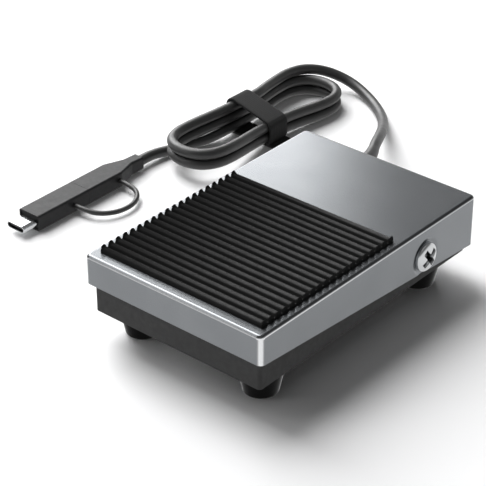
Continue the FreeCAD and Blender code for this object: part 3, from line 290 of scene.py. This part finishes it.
def make_camera():
    data = bpy.data.cameras.new("photo_camera")
    data.lens = LENS
    data.sensor_width = SENSOR
    data.clip_start = CLIP_NEAR
    data.clip_end = CLIP_FAR
    camera = link(bpy.data.objects.new("photo_camera", data))
    camera.matrix_world = facing(Vector(CAMERA_RIGHT), -Vector(CAMERA_DOWN), -Vector(CAMERA_FORWARD), EYE)
    scene.camera = camera


# Shader helpers. Their values are sockets or plain numbers.

def feed(tree, socket, value):
    if isinstance(value, bpy.types.NodeSocket):
        tree.links.new(value, socket)
    else:
        socket.default_value = value


def add_node(tree, kind, values):
    node = tree.nodes.new(kind)
    for key, value in values.items():
        feed(tree, node.inputs[key], value)
    return node


def maths(tree, operation, *values):
    node = add_node(tree, "ShaderNodeMath", dict(enumerate(values)))
    node.operation = operation
    return node.outputs["Value"]


def vector_maths(tree, operation, *values):
    node = add_node(tree, "ShaderNodeVectorMath", dict(enumerate(values)))
    node.operation = operation
    return node.outputs["Value" if operation == "LENGTH" else "Vector"]


def ranged(tree, value, start, end, low=0.0, high=1.0):
    # Goes from low to high while the value goes from start to end
    values = {"Value": value, "From Min": start, "From Max": end, "To Min": low, "To Max": high}
    return add_node(tree, "ShaderNodeMapRange", values).outputs["Result"]


def ramp(tree, factor, dark, light, low=NOISE_LOW, high=NOISE_HIGH):
    node = add_node(tree, "ShaderNodeValToRGB", {"Fac": factor})
    for element, position, colour in zip(node.color_ramp.elements, (low, high), (dark, light)):
        element.position = position
        element.color = (*colour, 1)
    return node.outputs["Color"]


def blended(tree, factor, first, second, kind):
    # Mix of two colours (RGBA) or two numbers (FLOAT)
    node = add_node(tree, "ShaderNodeMix", {})
    node.data_type = kind
    suffix = {"FLOAT": "_Float", "RGBA": "_Color"}[kind]
    inputs = {socket.identifier: socket for socket in node.inputs}
    feed(tree, inputs["Factor_Float"], factor)
    feed(tree, inputs["A" + suffix], first)
    feed(tree, inputs["B" + suffix], second)
    outputs = {socket.identifier: socket for socket in node.outputs}
    return outputs["Result" + suffix]


def noise(tree, coords, scale, detail=3.0):
    values = {"Vector": coords.outputs["Object"], "Scale": scale, "Detail": detail}
    return add_node(tree, "ShaderNodeTexNoise", values).outputs["Fac"]


def uneven(tree, coords, scale, low, high):
    return ranged(tree, noise(tree, coords, scale), NOISE_LOW, NOISE_HIGH, low, high)


def bump(tree, shader, height, depth, strength=1.0):
    node = add_node(tree, "ShaderNodeBump", {"Height": height, "Distance": depth, "Strength": strength})
    feed(tree, shader.inputs["Normal"], node.outputs["Normal"])


def reach_from_pivot(tree, coords):
    # Distance from the pivot axis
    offset = vector_maths(tree, "SUBTRACT", coords.outputs["Object"], (0, PIVOT_Y * MM, PIVOT_Z * MM))
    return vector_maths(tree, "LENGTH", vector_maths(tree, "MULTIPLY", offset, (0, 1, 1)))


def any_ray(tree, *kinds):
    # 1 where the ray is one of these kinds
    rays = add_node(tree, "ShaderNodeLightPath", {})
    seen = rays.outputs[kinds[0]]
    for kind in kinds[1:]:
        seen = maths(tree, "MAXIMUM", seen, rays.outputs[kind])
    return seen


# Materials

def new_material(name):
    material = bpy.data.materials.new(name)
    material.use_nodes = True
    tree = material.node_tree
    return material, tree, tree.nodes["Principled BSDF"], add_node(tree, "ShaderNodeTexCoord", {})


def plain_finish(name, dark, light, rough, grain, depth, metallic, specular):
    # Moulded or turned surface: blotchy colour, uneven gloss and a fine grain
    material, tree, shader, coords = new_material(name)
    shader.inputs["Metallic"].default_value = metallic
    shader.inputs["Specular IOR Level"].default_value = specular
    feed(tree, shader.inputs["Base Color"], ramp(tree, noise(tree, coords, grain / 12), dark, light))
    feed(tree, shader.inputs["Roughness"], uneven(tree, coords, grain / 5, *rough))
    bump(tree, shader, noise(tree, coords, grain), depth)
    return material


def edge_mask(tree, coords):
    # 0 on the flat faces and the pressed dishes, 1 on rounded edges
    apart = add_node(tree, "ShaderNodeSeparateXYZ", {"Vector": coords.outputs["Normal"]})
    x, y, z = (maths(tree, "ABSOLUTE", apart.outputs[axis]) for axis in "XYZ")
    largest = maths(tree, "MAXIMUM", maths(tree, "MAXIMUM", x, y), z)
    mask = ranged(tree, largest, FLAT_SIDE, ROUND_SIDE)
    outside = maths(tree, "GREATER_THAN", reach_from_pivot(tree, coords), DISH_REACH * MM)
    return maths(tree, "MULTIPLY", mask, outside)


def painted_edge_light(tree, coords):
    # Painted highlight on the foot of the top rounding and along the middle of upright edges, painted shade
    # beside it. On the right side the painted highlight widens towards the front.
    apart = add_node(tree, "ShaderNodeSeparateXYZ", {"Vector": coords.outputs["Normal"]})
    place = add_node(tree, "ShaderNodeSeparateXYZ", {"Vector": coords.outputs["Object"]})
    forward = ranged(tree, place.outputs["Y"], RIGHT_EDGE_REAR_Y * MM, RIGHT_EDGE_FRONT_Y * MM)
    lift = maths(tree, "MULTIPLY", maths(tree, "MULTIPLY", forward, RIGHT_EDGE_HIGHLIGHT_LIFT), apart.outputs["X"])
    rise = ranged(tree, maths(tree, "SUBTRACT", apart.outputs["Z"], lift), BEVEL_FOOT, BEVEL_TOP)
    turn = maths(tree, "ABSOLUTE", maths(tree, "MULTIPLY", apart.outputs["X"], apart.outputs["Y"]))
    flank = maths(tree, "MULTIPLY", ranged(tree, turn, CORNER_MIDDLE, CORNER_SIDE), CORNER_SHADE)
    upright = maths(tree, "LESS_THAN", apart.outputs["Z"], UPRIGHT)
    shade = maths(tree, "MAXIMUM", rise, maths(tree, "MULTIPLY", flank, upright))
    return ramp(tree, shade, PAINTED_EDGE_HIGHLIGHT, PAINTED_EDGE_SHADE, 0, 1)


def cover_finish():
    # Satin metal with polished edges, whose colour carries a painted highlight and painted shade
    material, tree, shader, coords = new_material("cover_metal")
    shader.inputs["Metallic"].default_value = 0.9
    edges = edge_mask(tree, coords)
    plain = ramp(tree, noise(tree, coords, 60, 4), (0.208, 0.218, 0.229), (0.232, 0.242, 0.253))
    # Colour of the edges: painted highlight and painted shade by the surface's direction
    feed(tree, shader.inputs["Base Color"], blended(tree, edges, plain, painted_edge_light(tree, coords), "RGBA"))
    gloss = uneven(tree, coords, 400, 0.257, 0.263)
    feed(tree, shader.inputs["Roughness"], blended(tree, edges, gloss, EDGE_ROUGHNESS, "FLOAT"))
    return material


def screw_finish():
    # Bright plated head, whose driver recess is darkened by painted shade from ambient occlusion
    material, tree, shader, coords = new_material("screw_chrome")
    shader.inputs["Metallic"].default_value = 1.0
    # Painted shade: ambient occlusion darkens the colour inside the recess span
    recess_painted_shade = add_node(tree, "ShaderNodeAmbientOcclusion", {"Distance": RECESS_SHADE_REACH * MM})
    recess_painted_shade.samples = 8
    around = maths(tree, "GREATER_THAN", reach_from_pivot(tree, coords), (RECESS_SPAN / 2 + RECESS_MARGIN) * MM)
    unshaded_share = maths(tree, "MAXIMUM", recess_painted_shade.outputs["AO"], around)
    # Dark end of this ramp is the painted shade of the recess, the light end is the plated metal
    colour = ramp(tree, unshaded_share, (0.02, 0.02, 0.021), (0.60, 0.61, 0.62), 0.35, 0.85)
    feed(tree, shader.inputs["Base Color"], colour)
    feed(tree, shader.inputs["Roughness"], uneven(tree, coords, 360, 0.12, 0.2))
    bump(tree, shader, noise(tree, coords, 1800), 0.000008)
    return material


def woven_finish():
    # Hook-and-loop strap: a fine weave with a faint sheen
    material, tree, shader, coords = new_material("strap_fabric")
    values = {"Vector": coords.outputs["Object"], "Scale": 330, "Distortion": 1.2, "Detail": 1.5}
    weave = []
    for axis in "XY":
        wave = add_node(tree, "ShaderNodeTexWave", values)
        wave.wave_type = "BANDS"
        wave.bands_direction = axis
        weave.append(wave.outputs["Fac"])
    cross = maths(tree, "MULTIPLY", *weave)
    colour = ramp(tree, cross, (0.021, 0.021, 0.021), (0.029, 0.029, 0.0295), 0.1, 0.8)
    feed(tree, shader.inputs["Base Color"], colour)
    shader.inputs["Roughness"].default_value = 0.9
    shader.inputs["Specular IOR Level"].default_value = 0.25
    shader.inputs["Sheen Weight"].default_value = 0.02
    shader.inputs["Sheen Roughness"].default_value = 0.5
    bump(tree, shader, cross, 0.00008, 0.6)
    return material


def board_finish():
    # Printed board: green resist with faint copper runs under it
    material, tree, shader, coords = new_material("board")
    cells = add_node(tree, "ShaderNodeTexBrick", {
        "Vector": coords.outputs["Object"],
        "Scale": 260,
        "Mortar Size": 0.04,
        "Color1": (0.012, 0.10, 0.04, 1),
        "Color2": (0.010, 0.085, 0.035, 1),
        "Mortar": (0.03, 0.19, 0.08, 1),
    })
    feed(tree, shader.inputs["Base Color"], cells.outputs["Color"])
    feed(tree, shader.inputs["Roughness"], uneven(tree, coords, 400, 0.25, 0.4))
    bump(tree, shader, cells.outputs["Fac"], 0.00003, 0.4)
    return material


def make_materials():
    made = {
        "cover_metal": cover_finish(),
        "screw_chrome": screw_finish(),
        "strap_fabric": woven_finish(),
        "board": board_finish(),
    }
    for name, values in PLAIN_FINISHES.items():
        made[name] = plain_finish(name, *values)
    return made


# Mesh helpers, with lengths in mm

def box_in_mm(node):
    return [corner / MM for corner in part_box(node)]


def ease(share):
    # Smooth step
    return share * share * (3 - 2 * share)


def ring_about(bm, centre, first, second, radius, segments):
    # Circle of vertices from the first direction towards the second
    ring = []
    for index in range(segments):
        angle = 2 * math.pi * index / segments
        ring.append(bm.verts.new((centre + (first * math.cos(angle) + second * math.sin(angle)) * radius) * MM))
    return ring


def join_rows(bm, rows, round_rows=False, round_columns=False):
    # Faces between neighbouring rows of vertices. The rows and the columns may close on themselves.
    pairs = list(zip(rows, rows[1:]))
    if round_rows:
        pairs.append((rows[-1], rows[0]))
    for near, far in pairs:
        for index in range(len(near) if round_columns else len(near) - 1):
            after = (index + 1) % len(near)
            bm.faces.new((near[index], near[after], far[after], far[index]))


def tube(bm, stations, segments):
    # Round tube along stations of (centre, way, radius), closed at both ends
    rings = []
    for centre, way, radius in stations:
        side = way.cross(Vector((0, 0, 1))).normalized()
        rings.append(ring_about(bm, centre, side, side.cross(way), radius, segments))
    join_rows(bm, rings, round_columns=True)
    bm.faces.new(rings[0])
    bm.faces.new(rings[-1])


def mesh_object(name, bm):
    mesh = bpy.data.meshes.new(name)
    bm.to_mesh(mesh)
    bm.free()
    return link(bpy.data.objects.new(name, mesh))


def mesh_piece(name, bm, body, slot, finish, smooth_deg):
    # Piece with smooth faces up to an angle, on its body unless it is blended
    bmesh.ops.recalc_face_normals(bm, faces=bm.faces)
    obj = mesh_object(name, bm)
    for polygon in obj.data.polygons:
        polygon.use_smooth = True
    obj.data.set_sharp_from_angle(angle=math.radians(smooth_deg))
    obj.data.materials.append(finish[slot])
    if body is not None:
        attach(obj, body)
    return obj


# Cords

def height_of_hank(degrees):
    turn, rest = divmod(degrees, 360)
    top = CORD_RADIUS + HANK_LAYER * (HANK_LOOPS - turn)
    marks = (
        (0, top),
        (HANK_SHOULDER, top),
        (90, top + HANK_LIFT),
        (180 - HANK_SHOULDER, top),
        (180 + HANK_SHOULDER, top),
        (270, top - HANK_LAYER + HANK_LIFT),
        (360 - HANK_SHOULDER, top - HANK_LAYER),
        (360, top - HANK_LAYER),
    )
    for (start, low), (end, high) in zip(marks, marks[1:]):
        if start <= rest <= end:
            return low + (high - low) * ease((rest - start) / (end - start))


def hank_points():
    # From the back of the waist, round the loops and back there
    points = []
    for degrees in range(90, 360 * HANK_LOOPS + 91, HANK_STEP):
        angle = math.radians(degrees)
        x = HANK_X - (HANK_BELLY * math.sin(angle) + HANK_WAIST * math.sin(3 * angle))
        y = HANK_Y + HANK_REACH * math.cos(angle)
        points.append((x, y, height_of_hank(degrees)))
    return points


def cord_curve(name, points, diameter, finish):
    data = bpy.data.curves.new(name, "CURVE")
    data.dimensions = "3D"
    data.resolution_u = 8
    data.bevel_depth = diameter / 2 * CORD_ROUNDING * MM
    data.bevel_resolution = 5
    data.use_fill_caps = True
    spline = data.splines.new("NURBS")
    spline.points.add(len(points) - 1)
    for point, (x, y, z) in zip(spline.points, points):
        point.co = (x * MM, y * MM, z * MM, 1)
    spline.order_u = 3
    spline.use_endpoint_u = True
    data.materials.append(finish["cord_jacket"])
    obj = link(bpy.data.objects.new(name, data))
    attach(obj, "base")
    return obj


def make_cords(finish):
    points = [*CORD_START, *FREE_ROUTE, *hank_points(), *PLUG_ROUTE]
    cord = cord_curve("cord", points, CORD_DIAMETER, finish)
    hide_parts("cord_to_hank", "cord_hank", "cord_to_plug")
    tether = cord_curve("tether", TETHER_ROUTE, TETHER_DIAMETER, finish)
    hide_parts("plug_tether")


# Tread pad

def rib_profile(front, rear, low, top):
    # (y, z) along the top of the pad, from its front edge to its rear edge
    pitch = (rear - front - 2 * RIB_ROOT) / (RIB_COUNT - 1)
    valley = low + PAD_SHEET
    shoulder = top - RIB_CROWN_RISE
    profile = [(front, low), (front, valley)]
    for index in range(RIB_COUNT):
        middle = front + RIB_ROOT + pitch * index
        if index:
            profile.append((middle - RIB_ROOT, valley))
        for step in range(RIB_STEPS + 1):
            angle = math.pi * step / RIB_STEPS
            profile.append((middle - RIB_CROWN * math.cos(angle), shoulder + RIB_CROWN_RISE * math.sin(angle)))
        if index < RIB_COUNT - 1:
            profile.append((middle + RIB_ROOT, valley))
    return profile + [(rear, valley), (rear, low)]


def make_tread(finish):
    # Ribs that rise in a lip at both ends, over as much length as height
    low, high = box_in_mm("tread_pad")
    seat = box_in_mm("pedal_cover")[1].z
    profile = rib_profile(low.y, high.y, seat, high.z)
    crown = high.z - seat
    turn = math.pi / 2 / PAD_END_STEPS
    drops = [PAD_END_LIP * (1 - math.sin(turn * step)) for step in range(PAD_END_STEPS + 1)]
    sections = [(low.x + drop, drop) for drop in reversed(drops)] + [(high.x - drop, drop) for drop in drops]
    bm = bmesh.new()
    rows = []
    for x, drop in sections:
        rows.append([bm.verts.new((x * MM, y * MM, (z - drop * (z - seat) / crown) * MM)) for y, z in profile])
    join_rows(bm, rows)
    for left, right in zip(rows, rows[1:]):
        bm.faces.new((left[0], right[0], right[-1], left[-1]))
    bm.faces.new(rows[0])
    bm.faces.new(rows[-1])
    tread = mesh_piece("tread", bm, "pedal", "tread_rubber", finish, 50)
    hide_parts("tread_pad")


# Pivot screws

def recess_depth(along, across):
    # Cross recess with sloping walls
    turn = math.radians(RECESS_TURN)
    u = abs(along * math.cos(turn) + across * math.sin(turn))
    v = abs(across * math.cos(turn) - along * math.sin(turn))
    half_width = RECESS_WIDTH / 2
    half_span = RECESS_SPAN / 2
    inside = max(min(half_width - u, half_span - v), min(half_width - v, half_span - u))
    return RECESS_DEPTH * ease(min(1, max(0, inside / RECESS_LIP + RECESS_LIP_SHARE)))


def screw_profile(length):
    # (radius, depth under the crown) from the head's middle to the thread's end
    profile = []
    for ring in range(1, SCREW_RINGS + 1):
        share = ring / SCREW_RINGS
        drop = (SCREW_HEAD_HEIGHT - SCREW_HEAD_RIM) * (1 - math.sqrt(1 - share ** SCREW_CROWN_POWER))
        profile.append((SCREW_HEAD_RADIUS * share, drop))
    shoulder_end = SCREW_HEAD_HEIGHT + SCREW_SHOULDER
    return profile + [
        (SCREW_HEAD_RADIUS, SCREW_HEAD_HEIGHT - SCREW_HEAD_BREAK),
        (SCREW_HEAD_RADIUS - SCREW_HEAD_BREAK, SCREW_HEAD_HEIGHT),
        (SCREW_SHOULDER_RADIUS, SCREW_HEAD_HEIGHT),
        (SCREW_SHOULDER_RADIUS, shoulder_end),
        (SCREW_THREAD_RADIUS, shoulder_end),
        (SCREW_THREAD_RADIUS, length - SCREW_TIP),
        (SCREW_THREAD_RADIUS - SCREW_TIP, length),
    ]


def make_pivot_screws(finish):
    # Pan heads that stand in the pressed dishes, each with its shoulder and thread
    for name, side in (("pivot_screw_left", -1), ("pivot_screw_right", 1)):
        low, high = box_in_mm(name)
        crown = max(abs(low.x), abs(high.x))
        middle = (low + high) / 2
        bm = bmesh.new()
        tip = bm.verts.new(Vector((side * (crown - recess_depth(0, 0)), middle.y, middle.z)) * MM)
        rings = []
        for index, (radius, depth) in enumerate(screw_profile(high.x - low.x)):
            ring = []
            for step in range(SCREW_SEGMENTS):
                angle = 2 * math.pi * step / SCREW_SEGMENTS
                along = radius * math.cos(angle)
                across = radius * math.sin(angle)
                sunk = depth + (recess_depth(along, across) if index < SCREW_RINGS else 0)
                place = Vector((side * (crown - sunk), middle.y + along, middle.z + across))
                ring.append(bm.verts.new(place * MM))
            rings.append(ring)
        for step in range(SCREW_SEGMENTS):
            bm.faces.new((tip, rings[0][step], rings[0][(step + 1) % SCREW_SEGMENTS]))
        join_rows(bm, rings, round_columns=True)
        bm.faces.new(rings[-1])
        screw = mesh_piece("steel_" + name, bm, "base", "screw_chrome", finish, 35)
        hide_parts(name)


# Feet

def foot_profile(top_radius, height):
    # (radius, height) from the screw pocket down, round the bottom edge and up the taper to the top
    profile = [
        (FOOT_POCKET_RADIUS, FOOT_POCKET_DEPTH),
        (FOOT_POCKET_RADIUS, FOOT_POCKET_LIP),
        (FOOT_POCKET_RADIUS + FOOT_POCKET_LIP, 0),
    ]
    edge_steps = 5
    for step in range(edge_steps + 1):
        angle = math.pi / 2 * step / edge_steps
        radius = FOOT_BOTTOM_RADIUS - FOOT_EDGE + FOOT_EDGE * math.sin(angle)
        profile.append((radius, FOOT_EDGE - FOOT_EDGE * math.cos(angle)))
    slope = (top_radius - FOOT_BOTTOM_RADIUS) / (height - FOOT_EDGE)
    taper_steps = 4
    for step in range(1, taper_steps + 1):
        rise = (height - FOOT_TAPER_STOP - FOOT_EDGE) * step / taper_steps
        profile.append((FOOT_BOTTOM_RADIUS + slope * rise, FOOT_EDGE + rise))
    return profile + [(top_radius, height - FOOT_COLLAR), (top_radius, height), (FOOT_POCKET_RADIUS, height)]


def make_feet(finish):
    for name in FEET:
        low, high = box_in_mm(name)
        middle = (low + high) / 2
        bm = bmesh.new()
        rings = []
        for radius, height in foot_profile((high.x - low.x) / 2, high.z):
            centre = Vector((middle.x, middle.y, height))
            rings.append(ring_about(bm, centre, Vector((1, 0, 0)), Vector((0, 1, 0)), radius, 64))
        join_rows(bm, rings, round_columns=True)
        foot = mesh_piece("rubber_" + name, bm, "base", "foot_rubber", finish, 35)
        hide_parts(name)


# Sleeve of the cord

def sleeve_centre(share):
    angle = math.radians(SLEEVE_BEND_DEG) * share
    x = EXIT_X - SLEEVE_BEND_RADIUS * (1 - math.cos(angle))
    y = COLLAR_END_Y + SLEEVE_BEND_RADIUS * math.sin(angle)
    fall = 2 * SLEEVE_DROOP * share / (SLEEVE_BEND_RADIUS * math.radians(SLEEVE_BEND_DEG))
    way = Vector((-math.sin(angle), math.cos(angle), -fall)).normalized()
    return Vector((x, y, EXIT_Z - SLEEVE_DROOP * share * share)), way


def make_sleeve(finish):
    # Taper with grooves on the half next to the collar
    stations = [(Vector((EXIT_X, y, EXIT_Z)), Vector((0, 1, 0)), radius) for y, radius in COLLAR]
    for step in range(SLEEVE_STEPS + 1):
        share = step / SLEEVE_STEPS
        centre, way = sleeve_centre(share)
        radius = SLEEVE_ROOT_RADIUS + (SLEEVE_TIP_RADIUS - SLEEVE_ROOT_RADIUS) * share
        phase = share * (SLEEVE_GROOVES + 0.5)
        if 0.5 < phase < SLEEVE_GROOVES - SLEEVE_PLAIN_GROOVES and phase % 1 > SLEEVE_GROOVE_START:
            radius -= SLEEVE_GROOVE_DEPTH * (1 - SLEEVE_GROOVE_FADE * share)
        stations.append((centre, way, radius))
    bm = bmesh.new()
    tube(bm, stations, 40)
    sleeve = mesh_piece("strain_relief", bm, "base", "cord_jacket", finish, 45)
    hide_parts("cord_gland")


# Return spring

def make_spring(finish):
    # Closed end coils and open coils, which close up as the cover comes down
    low, high = box_in_mm("return_spring")
    middle = (low + high) / 2
    radius = (high.x - low.x) / 2 - SPRING_WIRE_RADIUS
    bottom = low.z + SPRING_WIRE_RADIUS
    top = high.z - SPRING_WIRE_RADIUS
    closed_rise = SPRING_CLOSED_TURNS * SPRING_LEAD
    last_turn = SPRING_TURNS - SPRING_CLOSED_TURNS
    open_lead = (top - bottom - 2 * closed_rise) / (SPRING_TURNS - 2 * SPRING_CLOSED_TURNS)
    stations = []
    for step in range(SPRING_TURNS * SPRING_STEPS + 1):
        turn = step / SPRING_STEPS
        if turn < SPRING_CLOSED_TURNS:
            height = bottom + SPRING_LEAD * turn
        elif turn < last_turn:
            height = bottom + closed_rise + open_lead * (turn - SPRING_CLOSED_TURNS)
        else:
            height = top - SPRING_LEAD * (SPRING_TURNS - turn)
        angle = 2 * math.pi * turn
        centre = Vector((middle.x + radius * math.cos(angle), middle.y + radius * math.sin(angle), height))
        stations.append((centre, Vector((-math.sin(angle), math.cos(angle), 0)), SPRING_WIRE_RADIUS))
    bm = bmesh.new()
    tube(bm, stations, 14)
    spring = mesh_piece("spring_wire", bm, None, "steel", finish, 45)
    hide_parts("return_spring")
    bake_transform(spring)


# Strap

def strap_outline(radius):
    # (x, z) round the strands, one more of them at the back than at the front
    half = HANK_BELLY - HANK_WAIST + STRAP_EASE
    low = CORD_RADIUS + HANK_LIFT
    high_back = low + HANK_LAYER * HANK_LOOPS
    high_front = high_back - HANK_LAYER
    corners = [
        Vector((HANK_X - half, low)),
        Vector((HANK_X + half, low)),
        Vector((HANK_X + half, high_front)),
        Vector((HANK_X - half, high_back)),
    ]
    outline = []
    for index, corner in enumerate(corners):
        before = corner - corners[index - 1]
        after = corners[(index + 1) % len(corners)] - corner
        first = math.atan2(-before.x, before.y)
        last = math.atan2(-after.x, after.y)
        while last < first:
            last += 2 * math.pi
        for step in range(STRAP_CORNER_STEPS + 1):
            angle = first + (last - first) * step / STRAP_CORNER_STEPS
            outline.append((corner.x + radius * math.cos(angle), corner.y + radius * math.sin(angle)))
    return outline


def strap_row(bm, x, z, half_width):
    row = []
    for column in range(STRAP_COLUMNS):
        y = HANK_Y + half_width * (2 * column / (STRAP_COLUMNS - 1) - 1)
        row.append(bm.verts.new((x * MM, y * MM, z * MM)))
    return row


def strap_piece(name, bm, finish):
    # Strap of its full thickness with rounded edges
    piece = mesh_piece(name, bm, "base", "strap_fabric", finish, 60)
    solid = piece.modifiers.new("thickness", "SOLIDIFY")
    solid.thickness = STRAP_THICKNESS * MM
    solid.offset = 0
    edge = piece.modifiers.new("edge", "BEVEL")
    edge.width = STRAP_EDGE * MM
    edge.segments = 2
    edge.limit_method = "ANGLE"
    return piece


def make_strap(finish):
    inner_radius = CORD_RADIUS + STRAP_CLEARANCE
    middle = inner_radius + STRAP_THICKNESS / 2
    bm = bmesh.new()
    rows = [strap_row(bm, x, z, STRAP_WIDTH / 2) for x, z in strap_outline(middle)]
    join_rows(bm, rows, round_rows=True)
    bmesh.ops.remove_doubles(bm, verts=bm.verts, dist=1e-6)
    band = strap_piece("strap_band", bm, finish)
    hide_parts("hank_strap")

    # Free end along the floor, narrower over its last two steps
    start = HANK_X + (HANK_BELLY - HANK_WAIST) + STRAP_EASE - STRAP_TAIL_START
    length = STRAP_TAIL_START + inner_radius + STRAP_THICKNESS + STRAP_TAIL
    low = CORD_RADIUS + HANK_LIFT - middle
    bm = bmesh.new()
    rows = []
    for step in range(STRAP_TAIL_STEPS + 1):
        narrow = STRAP_TAIL_NARROW * max(0.0, (step - STRAP_TAIL_STEPS + 2) / 2) ** 2
        rows.append(strap_row(bm, start + length * step / STRAP_TAIL_STEPS, low, STRAP_WIDTH / 2 - narrow))
    join_rows(bm, rows)
    strap_piece("strap_tail", bm, finish)


# Carried-over solids

def dress_nodes(finish):
    slot_of = {entry["node"]: entry["material_slot"] for entry in frame["record"]["subparts"]}
    for name, node in frame["nodes"].items():
        node.data.materials.clear()
        node.data.materials.append(finish[slot_of[name]])


# Studio

def make_floor():
    material, tree, shader, coords = new_material("studio_floor")
    shader.inputs["Base Color"].default_value = FLOOR_COLOUR
    shader.inputs["Roughness"].default_value = 0.45
    shader.inputs["Specular IOR Level"].default_value = 0.1
    # Glossy surfaces show the floor as mostly plain white, so the metal stays even over the shadow. Far from the
    # object the camera sees it plain white too.
    gloss = maths(tree, "MULTIPLY", any_ray(tree, "Is Glossy Ray", "Is Transmission Ray"), FLOOR_IN_GLOSS)
    far = ranged(tree, vector_maths(tree, "LENGTH", coords.outputs["Object"]), BACKDROP_START, BACKDROP_END)
    backdrop = maths(tree, "MULTIPLY", any_ray(tree, "Is Camera Ray"), far)
    white = add_node(tree, "ShaderNodeEmission", {})
    mix = add_node(tree, "ShaderNodeMixShader", {
        "Fac": maths(tree, "MAXIMUM", gloss, backdrop),
        1: shader.outputs["BSDF"],
        2: white.outputs["Emission"],
    })
    output = next(node for node in tree.nodes if node.type == "OUTPUT_MATERIAL")
    feed(tree, output.inputs["Surface"], mix.outputs["Shader"])
    bm = bmesh.new()
    for x, y in ((-1, -1), (1, -1), (1, 1), (-1, 1)):
        bm.verts.new((x * FLOOR_HALF, y * FLOOR_HALF, 0))
    bm.faces.new(bm.verts)
    floor = mesh_object("floor", bm)
    floor.data.materials.append(material)


def make_surroundings():
    # Plain white to the camera, white walls and a dim ceiling to glossy surfaces, and a faint fill to the rest
    world = bpy.data.worlds.new("studio")
    scene.world = world
    world.use_nodes = True
    tree = world.node_tree
    background = tree.nodes["Background"]
    background.inputs["Color"].default_value = (1, 1, 1, 1)
    coords = add_node(tree, "ShaderNodeTexCoord", {})
    apart = add_node(tree, "ShaderNodeSeparateXYZ", {"Vector": coords.outputs["Generated"]})
    walls = ranged(tree, apart.outputs["Z"], FADE_START, FADE_END, WALL_LIGHT, CEILING_LIGHT)
    shown = maths(tree, "MAXIMUM", walls, any_ray(tree, "Is Camera Ray"))
    seen = any_ray(tree, "Is Camera Ray", "Is Glossy Ray", "Is Transmission Ray")
    feed(tree, background.inputs["Strength"], ranged(tree, seen, 0, 1, FILL_LIGHT, shown))


def make_lamps():
    # Rectangular cards that face their targets
    for name, place, target, size, power, upward in LAMPS:
        data = bpy.data.lights.new(name, "AREA")
        data.shape = "RECTANGLE"
        data.size, data.size_y = size
        data.energy = power
        back = (Vector(place) - Vector(target)).normalized()
        right = Vector(upward).cross(back).normalized()
        lamp = link(bpy.data.objects.new(name, data))
        lamp.matrix_world = facing(right, back.cross(right), back, place)


make_camera()
finish = make_materials()
make_cords(finish)
dress_nodes(finish)
make_tread(finish)
make_pivot_screws(finish)
make_spring(finish)
make_feet(finish)
make_sleeve(finish)
make_strap(finish)
make_floor()
make_surroundings()
make_lamps()
